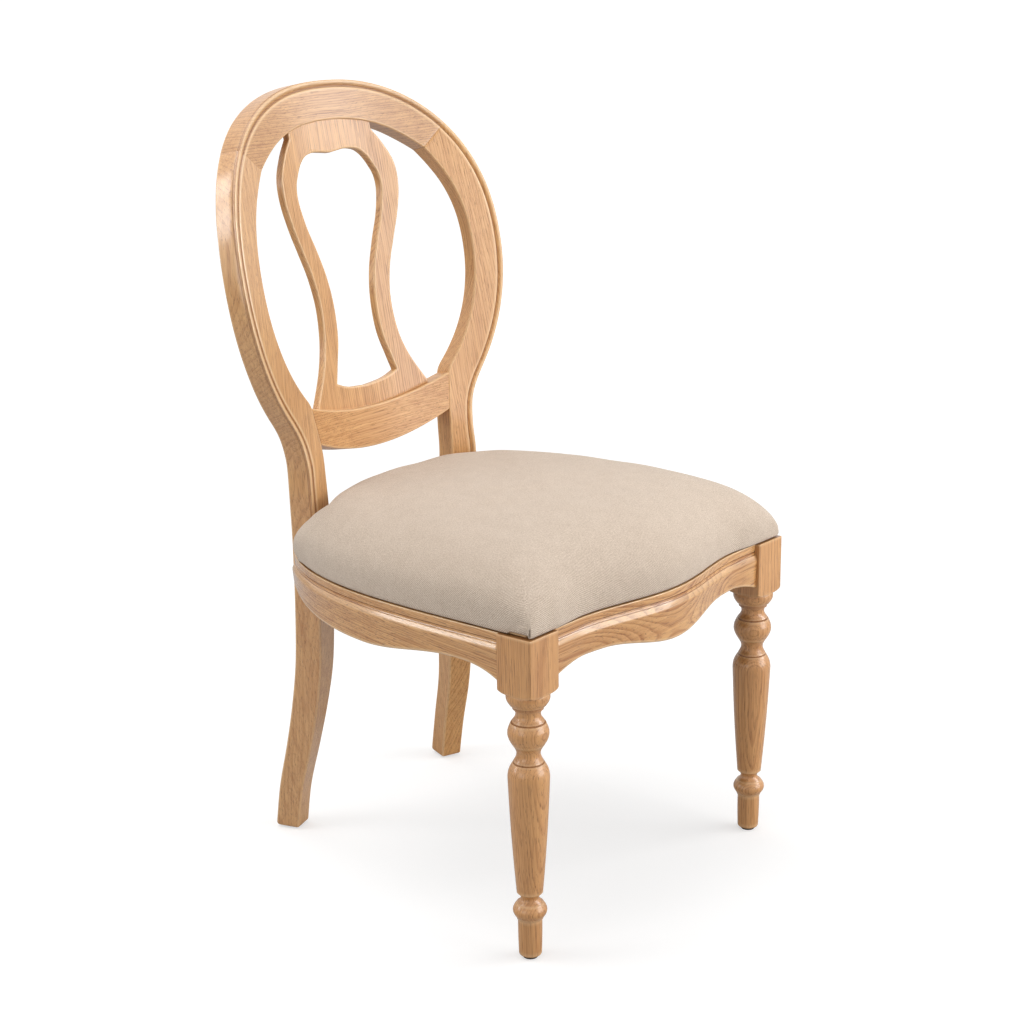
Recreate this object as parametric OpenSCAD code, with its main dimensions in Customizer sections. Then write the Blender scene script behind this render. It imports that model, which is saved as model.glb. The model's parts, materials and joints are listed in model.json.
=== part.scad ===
// Balloon-back oak dining chair with an upholstered seat.
// Millimetres, +Z up, front towards -Y, floor at Z = 0.
// The construction is laid out with Y = 0 on the axis of the front legs,
// then every piece is moved by origin_y, so that the origin is the centre of the footprint.

/* [Overall] */
// Top of the seat frame at the face of the front legs
seat_frame_height = 420; // [400:1:450]
// Distance between the axes of the front legs
front_leg_spacing = 464; // [440:1:500]
// Backward pitch of the seat in degrees
seat_pitch = 1.7; // [0:0.1:3]

/* [Front legs] */
// Width of the square block at the top of each front leg
block_size = 52; // [46:1:58]
// Radius of the foot just above the floor glide
foot_radius = 14; // [12:0.5:15]
// Largest radius of the tapered shaft
shaft_radius = 25.4; // [22:0.2:27]
// Radius of the round bulb under the block
bulb_radius = 25; // [21:0.2:27]
// Radius of the ring at the ankle
ankle_radius = 20.9; // [18:0.1:24]

/* [Seat frame] */
// Thickness of the front rail between the leg blocks
front_rail_thickness = 27; // [22:1:32]
// How far the serpentine front swells forward
front_swell = 24.8; // [0:0.2:32]
// Set-back of the front rail behind the leg blocks
front_set_back = 4.4; // [1:0.2:8]
// Depth of the front rail at the middle of its drop
front_drop_depth = 64; // [54:1:72]
// Depth of the front rail where it is slimmest
front_slim_depth = 48; // [42:1:54]
// Depth of both rails where they meet a leg block
rail_end_depth = 60; // [52:1:66]
// Depth of a side rail where it is slimmest
side_slim_depth = 45; // [38:1:52]
// Depth of a side rail at the middle of its drop
side_drop_depth = 61; // [54:1:70]
// Depth of a side rail at the rear post
side_rear_depth = 38; // [30:1:46]
// Thickness of a side rail
side_rail_thickness = 32; // [26:1:36]
// Depth of the rear rail
rear_rail_depth = 54; // [44:1:60]
// Thickness of the rear rail
rear_rail_thickness = 25; // [20:1:28]
// Height of the flat band above the moulding on the rails
rail_band = 9.4; // [6:0.2:12]

/* [Back frame] */
// Lean of the back from the vertical in degrees
back_lean = 11.1; // [6:0.1:14]
// Radius of the dish of the back in plan
back_dish_radius = 485; // [420:5:900]
// Half width of the oval over the frame
oval_half_width = 243; // [225:1:250]
// Height of the widest part of the oval
oval_mid_height = 775; // [755:1:790]
// Height of the crest above the floor
crest_height = 1003; // [970:1:1020]
// Height of the face of the crest rail at its middle
crest_width = 51.5; // [44:0.5:58]
// Thickness of the oval frame
frame_thickness = 30; // [24:0.5:32]
// Width of the bead along the outer front edge
bead_width = 7.6; // [5:0.1:9]
// Depth of the quirk beside the bead
quirk_depth = 2.4; // [1:0.1:3]

/* [Splat] */
// Thickness of the pierced splat
splat_thickness = 12; // [9:0.5:14]
// Set-back of the splat behind the face of the frame
splat_set_back = 7; // [5:0.5:9]

/* [Seat] */
// Thickness of the plywood seat board
board_thickness = 12; // [9:1:15]
// Height of the crown over the seat frame
crown_height = 104.5; // [90:0.5:112]
// Thickness of the seat cloth
cloth_thickness = 1.2; // [0.8:0.1:2]

/* [Joints] */
// Diameter of the dowels of the seat frame
frame_dowel = 10; // [8:1:12]
// Diameter of the dowels of the back and of the rear joints
back_dowel = 8; // [6:1:9]
// Clearance around each dowel and tenon
fit_clearance = 0.1; // [0.05:0.05:0.3]
// Shank diameter of the wood screws
screw_shank = 4; // [3.5:0.5:5]
// Height of the floor glides
glide_height = 3; // [2:0.5:5]

/* [Hidden] */

OAK = [0.80, 0.61, 0.40];
OAK_DARK = [0.70, 0.51, 0.32];
BEECH = [0.86, 0.74, 0.56];
PLY = [0.80, 0.68, 0.50];
FOAM = [0.95, 0.93, 0.82];
CLOTH = [0.74, 0.67, 0.58];
CAMBRIC = [0.10, 0.10, 0.11];
STEEL = [0.75, 0.75, 0.73];
GLIDE = [0.20, 0.18, 0.16];

// General helpers
function unit(v) = v / norm(v);
function mix(a, b, t) = a + (b - a) * t;
function smooth(t) = t * t * (3 - 2 * t);
function bezier(p, t) =
    pow(1 - t, 3) * p[0] + 3 * pow(1 - t, 2) * t * p[1] + 3 * (1 - t) * t * t * p[2] + pow(t, 3) * p[3];
// A smooth curve through evenly weighted knots; s runs from 0 to the number of spans
function knot(k, i) = k[max(0, min(len(k) - 1, i))];
function spline(k, s) =
    let (i = min(floor(s), len(k) - 2), t = s - i)
    let (a = knot(k, i - 1), b = knot(k, i), c = knot(k, i + 1), d = knot(k, i + 2))
    0.5 * (2 * b + (c - a) * t + (2 * a - 5 * b + 4 * c - d) * t * t + (3 * b - a - 3 * c + d) * pow(t, 3));

// A closed solid through rings of equal length, capped at both ends
module loft(rings) {
    n = len(rings[0]);
    last = len(rings) - 1;
    points = [for (ring = rings) each ring];
    walls = [
        for (k = [0:last - 1], i = [0:n - 1])
            let (a = k * n + i, b = k * n + (i + 1) % n)
            each [[a, b, b + n], [a, b + n, a + n]]
    ];
    start = [for (i = [n - 1:-1:0]) i];
    end = [for (i = [0:n - 1]) last * n + i];
    polyhedron(points, [start, end, each walls]);
}

// A rod whose middle lies at p and whose axis runs along dir
module rod(p, dir, length, diameter) {
    u = unit(dir);
    translate(p)
        rotate([0, acos(u.z), atan2(u.y, u.x)])
            cylinder(h = length, d = diameter, center = true, $fn = 32);
}

module right_and_left() {
    children();
    mirror([1, 0, 0]) children();
}

// Seat frame layout
leg_x = front_leg_spacing / 2;
half_block = block_size / 2;
block_inner_x = leg_x - half_block;
rail_end_y = half_block;
pitch_slope = tan(seat_pitch);
function seat_plane(y) = seat_frame_height - pitch_slope * (y + half_block);

// Back post layout: the shoulder hangs at a fixed distance under the widest part of the oval
shoulder_low = oval_mid_height - 242;
// Each knot: height, x of the outer front edge, width, y of the middle of the face, cant, depth
post_knots = [
    [glide_height, 167.4, 31, 479.4, 0.34, 34],
    [60, 166.6, 32.3, 470.6, 0.375, 34],
    [120, 163, 34.2, 456, 0.385, 35.5],
    [180, 157.8, 36.4, 445, 0.36, 37.5],
    [245, 154, 38.2, 437, 0.31, 39],
    [325, 156.5, 39.6, 431.5, 0.275, 38.4],
    [375, 157.5, 40, 430.5, 0.27, 38],
    [seat_frame_height + 5, 157.5, 40, 430.5, 0.27, 38],
    [mix(seat_frame_height + 5, shoulder_low, 0.51), 161.5, 41, 431.5, 0.265, 35.5],
    [mix(seat_frame_height + 5, shoulder_low, 0.83), 160.2, 38.8, 434.5, 0.255, 35.2]
];
post_seat = post_knots[6];
post_cant = atan(post_seat[4]);
// The corners of the post at the seat: front outer, front inner, back outer and back inner
post_across = [-cos(post_cant), sin(post_cant)];
post_back = [sin(post_cant), cos(post_cant)];
post_fo = [post_seat[1], post_seat[3] - post_seat[2] / 2 * sin(post_cant)];
post_fi = post_fo + post_seat[2] * post_across;
post_bo = post_fo + post_seat[5] * post_back;
post_bi = post_fi + post_seat[5] * post_back;

// Face of the back: a leaning surface dished in plan
lean = tan(back_lean);
face_y = 446.6;
face_z = 480;
cant_rate = 0.00151;
function face_mid(x, z) = face_y + lean * (z - face_z) - x * x / (2 * back_dish_radius);

// Outlines of the oval in elevation: plain ellipses below, squarer curves above
square = 2.3;
inner_half_width = oval_half_width - 45;
inner_mid_height = oval_mid_height - 7;
outer_low = 282;
inner_low = 224;
outer_high = crest_height - oval_mid_height;
inner_high = crest_height - crest_width - inner_mid_height;
// t is in degrees: negative below the widest part, positive above it
function oval(half_width, mid, low, high, t) =
    t < 0
        ? [half_width * cos(t), mid + low * sin(t)]
        : [half_width * pow(cos(t), 2 / square), mid + high * pow(sin(t), 2 / square)];
function outer_oval(t) = oval(oval_half_width, oval_mid_height, outer_low, outer_high, t);
function inner_oval(t) = oval(inner_half_width, inner_mid_height, inner_low, inner_high, t);
joint_outer = -39;
joint_inner = -47.8;
mitre_outer = 41.3;
mitre_inner = 43.9;

// Shoulder between the post and the oval: outer point and inner point of each section
shoulder = [
    [161.5, shoulder_low, 123.6, shoulder_low],
    [164.4, shoulder_low + 19, 124.5, shoulder_low + 14],
    [170.4, shoulder_low + 35, 127.3, shoulder_low + 32.3],
    [178.4, shoulder_low + 49, 130.2, shoulder_low + 50.7],
    [outer_oval(joint_outer)[0], outer_oval(joint_outer)[1], inner_oval(joint_inner)[0], inner_oval(joint_inner)[1]]
];
shoulder_depth = [34.5, 33.5, 32.2, 31, 30];

// One section frame: outer point, direction across the face, direction to the back, width, depth, bead
function across_of(o, i) = unit(i - o);
function face_point(x, z, xm, zm) =
    [x, face_mid(xm, zm) - cant_rate * xm * (x - xm) + lean * (z - zm), z];
function frame_at(xo, zo, xi, zi, depth) =
    let (xm = (xo + xi) / 2, zm = (zo + zi) / 2)
    [face_point(xo, zo, xm, zm), face_point(xi, zi, xm, zm), depth, 1];
function leg_at(k) =
    let (a = atan(k[4]), o = [k[1], k[3] - k[2] / 2 * sin(a), k[0]])
    [o, o + k[2] * [-cos(a), sin(a), 0], k[5], k[0] > seat_frame_height - 10 ? 1 : 0];

leg_steps = 3;
oval_steps = 9;
rise_steps = 9;
crest_steps = 11;
leg_frames = [
    for (s = [0:1 / leg_steps:len(post_knots) - 1]) leg_at(spline(post_knots, s))
];
shoulder_frames = [
    for (i = [0:len(shoulder) - 1])
        let (s = shoulder[i])
        frame_at(s[0], s[1], s[2], s[3], shoulder_depth[i])
];
function oval_frame(a, b, depth) =
    let (o = outer_oval(a), i = inner_oval(b))
    frame_at(o[0], o[1], i[0], i[1], depth);
low_frames = [
    for (s = [1:oval_steps])
        let (t = 1 - s / oval_steps)
        oval_frame(joint_outer * t, joint_inner * t, mix(frame_thickness, 30, t))
];
high_frames = [
    for (s = [1:rise_steps])
        let (t = s / rise_steps)
        oval_frame(mitre_outer * t, mitre_inner * t, frame_thickness)
];
post_frames = [each leg_frames, each shoulder_frames, each low_frames, each high_frames];
half_crest = [
    for (s = [0:crest_steps])
        let (t = s / crest_steps)
        oval_frame(mix(mitre_outer, 90, t), mix(mitre_inner, 90, t), frame_thickness)
];
function flip(p) = [-p[0], p[1], p[2]];
crest_frames = [
    each half_crest,
    for (s = [crest_steps - 1:-1:0])
        let (f = half_crest[s])
        [flip(f[0]), flip(f[1]), f[2], f[3]]
];

// Section of the frame: bead and quirk at the outer front edge, eased arrises elsewhere
function frame_section(w, d, bead) =
    let (q = quirk_depth * bead, r = bead_width / 2, s = 0.9 * bead)
    [
        [s, d - 2], [s, r + 2.4], [0.2 * bead, r + 1.6], [0, r], [0.27 * r, 0.35 * r], [r * 0.8, 0],
        [r * 1.3, 0.12 * q], [r * 1.75, 0.55 * q], [bead_width, q], [bead_width + 0.9, 0.2 * q],
        [bead_width + 1.6, 0], [w - 2, 0], [w - 0.6, 0.6], [w, 2], [w, d - 2], [w - 0.6, d - 0.6],
        [w - 2, d], [s + 2, d], [s + 0.6, d - 0.6]
    ];
function mid_of(f) = (f[0] + f[1]) / 2;
function back_dir(frames, k) =
    let (a = mid_of(frames[max(0, k - 1)]), b = mid_of(frames[min(len(frames) - 1, k + 1)]))
    let (n = unit(cross(unit(frames[k][1] - frames[k][0]), b - a)))
    n.y < 0 ? -n : n;
function frame_ring(f, n) =
    let (e = unit(f[1] - f[0]))
    [for (p = frame_section(norm(f[1] - f[0]), f[2], f[3])) f[0] + e * p[0] + n * p[1]];

// The foot is cut level with the floor, and both sections of the mitre are the same
function level_back(k) = [sin(atan(post_knots[0][4])), cos(atan(post_knots[0][4])), 0];
mitre_k = len(post_frames) - 1;
mitre_back =
    let (a = mid_of(post_frames[mitre_k - 1]), b = mid_of(crest_frames[1]))
    let (f = post_frames[mitre_k])
    -unit(cross(b - a, unit(f[1] - f[0])));
mitre_dir = unit(mid_of(crest_frames[1]) - mid_of(post_frames[mitre_k - 1]));
function post_back_dir(k) =
    k == 0 ? level_back(0) : k == mitre_k ? mitre_back : back_dir(post_frames, k);
function crest_back_dir(k) =
    k == 0 ? mitre_back : k == len(crest_frames) - 1 ? flip(mitre_back) : back_dir(crest_frames, k);

module post_body() {
    loft([for (k = [0:mitre_k]) frame_ring(post_frames[k], post_back_dir(k))]);
}

// Dowels of the mitre between a post and the crest
module crest_dowel_pair(extra = 0) {
    f = post_frames[mitre_k];
    for (share = [0.34, 0.68])
        rod(mix(f[0], f[1], share) + mitre_back * f[2] * 0.52, mitre_dir,
            40 + extra, back_dowel + extra);
}

// Lower back rail: a bar with a hollow top edge and a rounded lower edge
joint_low = frame_at(shoulder[1][0], shoulder[1][1], shoulder[1][2], shoulder[1][3], 33.5);
joint_high = shoulder_frames[4];
lower_end_bottom = joint_low[1];
lower_end_top = mix(joint_low[1], joint_high[1], 0.91);
lower_top_mid = shoulder_low + 41;
lower_bottom_mid = shoulder_low - 12;
lower_steps = 22;
// The face is dished so that it runs flush into the posts
lower_face_mid = face_mid(0, (lower_top_mid + lower_bottom_mid) / 2);
function lower_face(x, z, end) =
    let (zm = (lower_top_mid + lower_bottom_mid) / 2)
    lower_face_mid + lean * (z - zm) + (end.y - lower_face_mid - lean * (end.z - zm)) * pow(x / end.x, 2);
function lower_edge(s, end, mid) =
    let (x = s * end.x, z = mix(mid, end.z, s * s))
    [x, lower_face(x, z, end), z];
function bar_section(w, d) =
    [
        [0, d - 2], [0, 2], [0.6, 0.6], [2, 0], [w - 2, 0], [w - 0.6, 0.6],
        [w, 2], [w, d - 2], [w - 0.6, d - 0.6], [w - 2, d], [2, d], [0.6, d - 0.6]
    ];
function bar_ring(a, b, n, d) =
    [for (p = bar_section(norm(b - a), d)) a + unit(b - a) * p[0] + n * p[1]];
function lower_frame(s) =
    [lower_edge(s, lower_end_bottom, lower_bottom_mid), lower_edge(s, lower_end_top, lower_top_mid)];
function lower_back_dir(s) =
    let (f = lower_frame(s), a = lower_frame(s - 0.05), b = lower_frame(s + 0.05))
    let (n = unit(cross(unit(f[1] - f[0]), b[0] + b[1] - a[0] - a[1])))
    n.y < 0 ? -n : n;
module lower_body() {
    loft([
        for (k = [0:lower_steps])
            let (s = 1 - 2 * k / lower_steps, f = lower_frame(s))
            bar_ring(f[1], f[0], lower_back_dir(s), frame_thickness)
    ]);
}
module lower_dowel_pair(extra = 0) {
    n = lower_back_dir(1);
    for (share = [0.3, 0.72])
        rod(mix(lower_end_bottom, lower_end_top, share) + n * frame_thickness * 0.5,
            cross(n, lower_end_top - lower_end_bottom), 40 + extra, back_dowel + extra);
}

// Splat: a pierced board bent to the dish of the back, tenoned into the crest and the lower rail
tenon = 12;
splat_top_half = 75.5;
splat_foot_half = 105.5;
dish_radius = back_dish_radius / cos(back_lean);
function crest_inner_z(x) =
    inner_mid_height + inner_high * pow(1 - pow(abs(x) / inner_half_width, square), 1 / square);
function lower_top_z(x) = mix(lower_top_mid, lower_end_top.z, pow(x / lower_end_top.x, 2));
waist = 0.363;
// Half outline from the crest to the foot, and half opening from its top to its sill;
// heights are shares of the span between the lower rail and the crest
splat_edge = [
    [splat_top_half, 0.954], [78, 0.946], [91, 0.901], [104.6, 0.832], [106.4, 0.752], [98.5, 0.66],
    [85.2, 0.564], [73, 0.4715], [66.2, waist], [70.2, 0.246], [83.8, 0.147], [splat_foot_half, 0.042]
];
opening_edge = [
    [0, 0.8905], [17, 0.894], [32, 0.902], [46, 0.8965], [58, 0.873], [68.5, 0.8345], [75.4, 0.7815],
    [74.6, 0.7285], [66, 0.6545], [52.2, 0.563], [42.2, 0.466], [38, waist], [41, 0.25], [50.2, 0.1535],
    [58.5, 0.0945]
];
opening_sill = [[45, 0.086], [29, 0.076], [0, 0.069]];
curve_steps = 4;
function splat_point(p) = [p.x, mix(lower_top_mid, crest_inner_z(0), p.y)];
function curve(k) = [for (s = [0:1 / curve_steps:len(k) - 1]) splat_point(spline(k, s))];
function whole(half) =
    concat(half, [for (k = [len(half) - 1:-1:0]) if (half[k].x > 0.001) [-half[k].x, half[k].y]]);
// Elevation point laid out on the leaning board
function on_board(p) =
    [p.x, (p.y - face_z - p.x * p.x * sin(back_lean) / (2 * dish_radius)) / cos(back_lean)];
splat_foot_steps = 6;
splat_outline = whole([
    for (k = [0:splat_foot_steps])
        let (x = splat_top_half * k / splat_foot_steps)
        [x, crest_inner_z(x) + tenon],
    each curve(splat_edge),
    for (k = [splat_foot_steps:-1:0])
        let (x = splat_foot_half * k / splat_foot_steps)
        [x, lower_top_z(x) - tenon]
]);
splat_opening = whole([each curve(opening_edge), each curve(opening_sill)]);
shell_margin = 60;
shell_height = (crest_height - face_z) / cos(back_lean) + 2 * shell_margin;
module bent_board(grow = 0) {
    intersection() {
        translate([0, face_y + splat_set_back, face_z])
            rotate([-back_lean, 0, 0])
                translate([0, -dish_radius, -shell_margin])
                    difference() {
                        cylinder(h = shell_height, r = dish_radius + splat_thickness + grow, $fn = 240);
                        translate([0, 0, -1])
                            cylinder(h = shell_height + 2, r = dish_radius - grow, $fn = 240);
                    }
        translate([0, face_y + splat_set_back, face_z])
            rotate([90 - back_lean, 0, 0])
                translate([0, 0, -shell_margin])
                    linear_extrude(2 * shell_margin)
                        children();
    }
}
module splat_body() {
    bent_board()
        difference() {
            polygon([for (p = splat_outline) on_board(p)]);
            polygon([for (p = splat_opening) on_board(p)]);
        }
}
// Slots for the tenons of the splat, run out into the open beyond the edges of the rails
slot_depth = 18;
module crest_slot() {
    c = fit_clearance;
    bent_board(c)
        polygon([
            for (p = whole([
                for (k = [0:splat_foot_steps])
                    let (x = (splat_top_half + c) * k / splat_foot_steps)
                    [x, crest_inner_z(x) + tenon + c],
                [splat_top_half + c, crest_inner_z(splat_top_half) - slot_depth]
            ])) on_board(p)
        ]);
}
module lower_slot() {
    c = fit_clearance;
    bent_board(c)
        polygon([
            for (p = whole([
                [splat_foot_half + c, lower_top_z(splat_foot_half) + slot_depth],
                for (k = [splat_foot_steps:-1:0])
                    let (x = (splat_foot_half + c) * k / splat_foot_steps)
                    [x, lower_top_z(x) - tenon - c]
            ])) on_board(p)
        ]);
}

// Moulded section of a seat rail: flat band, quirk and roll on the face, eased lower edge
function rail_section(w, h) =
    let (b = rail_band, set = 2.2)
    [
        [w - 1, 0], [set + 0.8, 0], [set, 0.8], [set, b - 0.8], [set + 1.3, b], [set + 0.5, b + 1.2],
        [set + 0.3, b + 4.6], [0.6, b + 5.4], [-0.5, b + 7.2], [-1, b + 10.5], [-0.6, b + 15.4], [0, b + 20],
        [0, h - 3], [0.8, h - 0.9], [2.8, h], [w - 1.5, h], [w, h - 1.5], [w, 1]
    ];
function rail_ring(o, i, h) =
    let (e = unit([i[0] - o[0], i[1] - o[1], 0]), w = norm([i[0] - o[0], i[1] - o[1]]))
    [
        for (p = rail_section(w, h))
            let (q = [o[0], o[1], 0] + e * p[0])
            [q.x, q.y, seat_plane(q.y) - p[1]]
    ];

// Side rail: the outer face sweeps from the leg block to the back corner of the post
side_face_x = leg_x + half_block - 1.4;
side_outer = [
    [side_face_x, rail_end_y], [side_face_x - 5, 168], [side_face_x + 9.5, 340], post_bo
];
side_inner = [
    [side_face_x - side_rail_thickness, rail_end_y],
    [side_face_x - side_rail_thickness - 4.8, 165],
    [side_face_x - side_rail_thickness + 5.2, 315],
    post_fo
];
slim_at = 0.17;
drop_at = 0.51;
function side_depth(t) =
    t < slim_at
        ? mix(side_slim_depth, rail_end_depth, pow(1 - t / slim_at, 2.5))
        : t < drop_at
            ? mix(side_slim_depth, side_drop_depth, smooth((t - slim_at) / (drop_at - slim_at)))
            : mix(side_drop_depth, side_rear_depth, pow((t - drop_at) / (1 - drop_at), 2.2));
side_steps = 26;
module side_rail_body() {
    loft([
        for (k = [0:side_steps])
            let (t = k / side_steps)
            rail_ring(bezier(side_outer, t), bezier(side_inner, t), side_depth(t))
    ]);
}

// Front rail: serpentine in plan, with a lower edge that drops at the centre and at the legs
front_face_y = -half_block + front_set_back;
swell_half = 165;
front_dip_half = 120;
front_flare_from = 150;
function bell(x, half) = abs(x) < half ? pow(cos(90 * x / half), 2) : 0;
function front_outer(x) = [x, front_face_y - front_swell * bell(x, swell_half)];
function front_inner(x) =
    [x, front_face_y + front_rail_thickness - 0.55 * front_swell * bell(x, swell_half)];
function front_depth(x) =
    front_slim_depth + (front_drop_depth - front_slim_depth) * bell(x, front_dip_half)
    + (abs(x) > front_flare_from
        ? (rail_end_depth - front_slim_depth)
            * pow((abs(x) - front_flare_from) / (block_inner_x - front_flare_from), 1.8)
        : 0);
front_steps = 40;
module front_rail_body() {
    loft([
        for (k = [0:front_steps])
            let (x = mix(block_inner_x, -block_inner_x, k / front_steps))
            rail_ring(front_outer(x), front_inner(x), front_depth(x))
    ]);
}

// Dowels between the seat rails and the legs
front_dowel_y = front_face_y + front_rail_thickness / 2;
dowel_drops = [16, 38];
module front_rail_dowels(extra = 0) {
    for (drop = dowel_drops)
        rod([block_inner_x, front_dowel_y, seat_plane(front_dowel_y) - drop], [1, 0, 0],
            48 + extra, frame_dowel + extra);
}
side_dowel_x = side_face_x - side_rail_thickness / 2;
module side_rail_dowels(extra = 0) {
    for (drop = dowel_drops)
        rod([side_dowel_x, rail_end_y, seat_plane(rail_end_y) - drop], [0, 1, 0],
            48 + extra, frame_dowel + extra);
}
// Dowels from the side rail and from the rear rail into the post
rear_drops = [12, 27];
module side_post_dowels(extra = 0) {
    m = post_fo + post_back * post_seat[5] * 0.42;
    for (drop = rear_drops)
        rod([m.x, m.y, seat_plane(m.y) - drop], [post_across.x, post_across.y, 0],
            30 + extra, back_dowel + extra);
}
rear_face_y = post_fi.y + 5;
rear_mid_y = rear_face_y + rear_rail_thickness / 2;
function rear_end_x(y) = post_fi.x + (y - post_fi.y) * post_seat[4];
module rear_rail_dowels(extra = 0) {
    for (drop = [16, 38])
        rod([rear_end_x(rear_mid_y), rear_mid_y, seat_plane(rear_mid_y) - drop], [1, 0, 0],
            30 + extra, back_dowel + extra);
}

// Corner blocks
block_thickness = 28;
block_gap = 3;
front_block_reach = 56;
front_block_run = 78;
front_inner_y = front_face_y + front_rail_thickness;
side_inner_front = [for (t = [0:0.04:0.16]) bezier(side_inner, t)];
side_inner_rear = [for (t = [0.8:0.04:1]) bezier(side_inner, t)];
rear_block_reach = 50;
rear_screw_at = bezier(side_inner, 0.96);
front_block_outline = [
    [block_inner_x - front_block_reach, front_inner_y],
    [block_inner_x, front_inner_y],
    [block_inner_x, rail_end_y],
    each side_inner_front
];
rear_block_outline = [
    each side_inner_rear,
    post_fi,
    [rear_end_x(rear_face_y), rear_face_y],
    [rear_block_reach, rear_face_y]
];
front_block_top = seat_plane(100) - block_gap;
rear_block_top = seat_plane(440) - block_gap;
seat_screw_front = [196, 38];
seat_screw_rear = [128, 405];
// Screws that hold the blocks to the rails: tip side point, direction and length
front_block_screws = [
    [[178, front_inner_y + 4, front_block_top - 15], [0, -1, 0]],
    [[side_inner_front[2].x - 4, 58, front_block_top - 15], [1, 0, 0]]
];
rear_block_screws = [
    [[103, rear_face_y - 4, rear_block_top - 15], [0, 1, 0]],
    [[rear_screw_at.x - 5, rear_screw_at.y - 2.7, rear_block_top - 15], [0.87, 0.48, 0]]
];
screw_length = 32;
screw_head = 8;
module wood_screw(p, dir, extra = 0) {
    u = unit(dir);
    translate(p)
        rotate([0, acos(u.z), atan2(u.y, u.x)]) {
            translate([0, 0, -screw_length / 2])
                cylinder(h = screw_length, d = screw_shank + extra, $fn = 24);
            translate([0, 0, -screw_length / 2 - 3])
                cylinder(h = 3, d = screw_head + extra, $fn = 24);
        }
}
module block_screws(list, extra = 0) {
    for (s = list)
        wood_screw(s[0], s[1], extra);
}
module screw_wells(list) {
    for (s = list)
        wood_screw(s[0], s[1], 0.2);
    for (s = list)
        rod(s[0] - unit(s[1]) * (screw_length / 2 + 23), s[1], 40, screw_head + 0.4);
}
// Screws that hold the seat from below
seat_screw_length = 34;
module seat_screw(p, top, extra = 0) {
    translate([p[0], p[1], top - 24]) {
        cylinder(h = seat_screw_length, d = screw_shank + extra, $fn = 24);
        translate([0, 0, -3])
            cylinder(h = 3, d = screw_head + extra, $fn = 24);
    }
}
module seat_screw_bore(p, top) {
    seat_screw(p, top, 0.2);
    translate([p[0], p[1], top - 60])
        cylinder(h = 34, d = screw_head + 0.4, $fn = 24);
}

// Seat outline in plan, one half, from the middle of the front to the middle of the back
seat_inset = 2.6;
front_pad_x = [0, 35, 70, 105, 140, 175, 215];
// The rear edge runs in front of the posts with room for the bulge of the pad
post_room = 4.6;
rear_edge_mid = 453;
rear_edge_half = post_fo.x;
rear_edge_drop = rear_edge_mid - post_fo.y + post_room;
rear_wing_x = 180;
rear_wing_y = 430;
function rear_edge(x) = [x, rear_edge_mid - rear_edge_drop * pow(x / rear_edge_half, 1.35)];
half_outline = [
    for (x = front_pad_x) [x, pad_front(x)],
    [leg_x + half_block - 9, -half_block + 3.6],
    [leg_x + half_block - 3.4, -half_block + 9],
    for (t = [0:0.125:0.875]) bezier(side_outer, t) - [seat_inset, 0],
    [191, rear_wing_y - 2],
    [rear_wing_x, rear_wing_y],
    rear_edge(rear_edge_half),
    rear_edge(119),
    rear_edge(80),
    rear_edge(40)
];
function pad_front(x) = front_outer(x)[1] + mix(seat_inset, -1.8, smooth(max(0, min(1, (x - 150) / 60))));
seat_outline = [
    each half_outline,
    rear_edge(0),
    for (k = [len(half_outline) - 1:-1:1]) [-half_outline[k][0], half_outline[k][1]]
];
pad_centre = [0, 195];
function pad_ring(inset, h) =
    [
        for (p = seat_outline)
            let (v = p - pad_centre, q = p - unit(v) * inset)
            [q.x, q.y, h]
    ];

// Height of the pad: it rises from the sides, the front and the rear, each with its own
// length of rise and squareness, and a shallow dome lies over the whole
side_rise = [251, 4.5];
front_rise = [141, 2.74];
rear_rise = [53.3, 2.8];
pad_foot = 1.7;
dome_height = 0.21 * crown_height;
edge_height = crown_height - dome_height - pad_foot;
dome_half = [260, 250];
dome_mid_y = 205;
pad_bulge = 3;
function clip(a) = max(0, min(1, a));
function rise(d, by) = pow(1 - pow(1 - clip(d / by[0]), by[1]), 1 / by[1]);
side_line = [for (t = [0:0.05:1]) let (p = bezier(side_outer, t)) [p.y, p.x - seat_inset]];
function from_side(p) = lookup(p.y, side_line) - abs(p.x);
function from_front(p) = p.y - pad_front(abs(p.x));
function from_rear(p) =
    let (x = abs(p.x), past = clip((x - rear_edge_half) / (rear_wing_x - rear_edge_half)))
    mix(rear_edge(min(x, rear_edge_half)).y, rear_wing_y, past) - p.y;
function dome(p) =
    max(0, (1 - pow(p.x / dome_half.x, 2)) * (1 - pow((p.y - dome_mid_y) / dome_half.y, 2)));
function pad_height(p) =
    let (e = rise(from_side(p), side_rise) * rise(from_front(p), front_rise) * rise(from_rear(p), rear_rise))
    pad_foot + (edge_height + dome_height * dome(p)) * e;
// A ring of the pad: u is 0 at the outline and 1 at the centre; the walls of the pad bulge a little
function pad_contour(u, inset) =
    let (s = 1 - pow(u, 4))
    [
        for (o = seat_outline)
            let (p = pad_centre + s * (o - pad_centre), h = u == 0 ? pad_foot : pad_height(p))
            let (m = clip(h / (0.75 * edge_height)), out = pad_bulge * 4 * m * (1 - m) * pow(s, 6))
            let (q = p + unit(o - pad_centre) * (out - inset))
            [q.x, q.y, h - inset]
    ];
outer_steps = [0, 0.1, 0.19, 0.27, 0.35, 0.43, 0.51, 0.6, 0.69, 0.78, 0.87, 0.94];
inner_steps = [for (k = [3:len(outer_steps) - 1]) outer_steps[k]];
// Cloth turned under the board, and the dust cover between it and the rails
hem = 18;
dust_inset = 11;
dust_thickness = 0.5;
cover_low = dust_thickness;
cover_gap = cloth_thickness;

// Pad coordinates: height is measured from the seat frame, square to it
module on_seat() {
    translate([0, -half_block, seat_frame_height])
        rotate([-seat_pitch, 0, 0])
            translate([0, half_block, 0])
                children();
}

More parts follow.
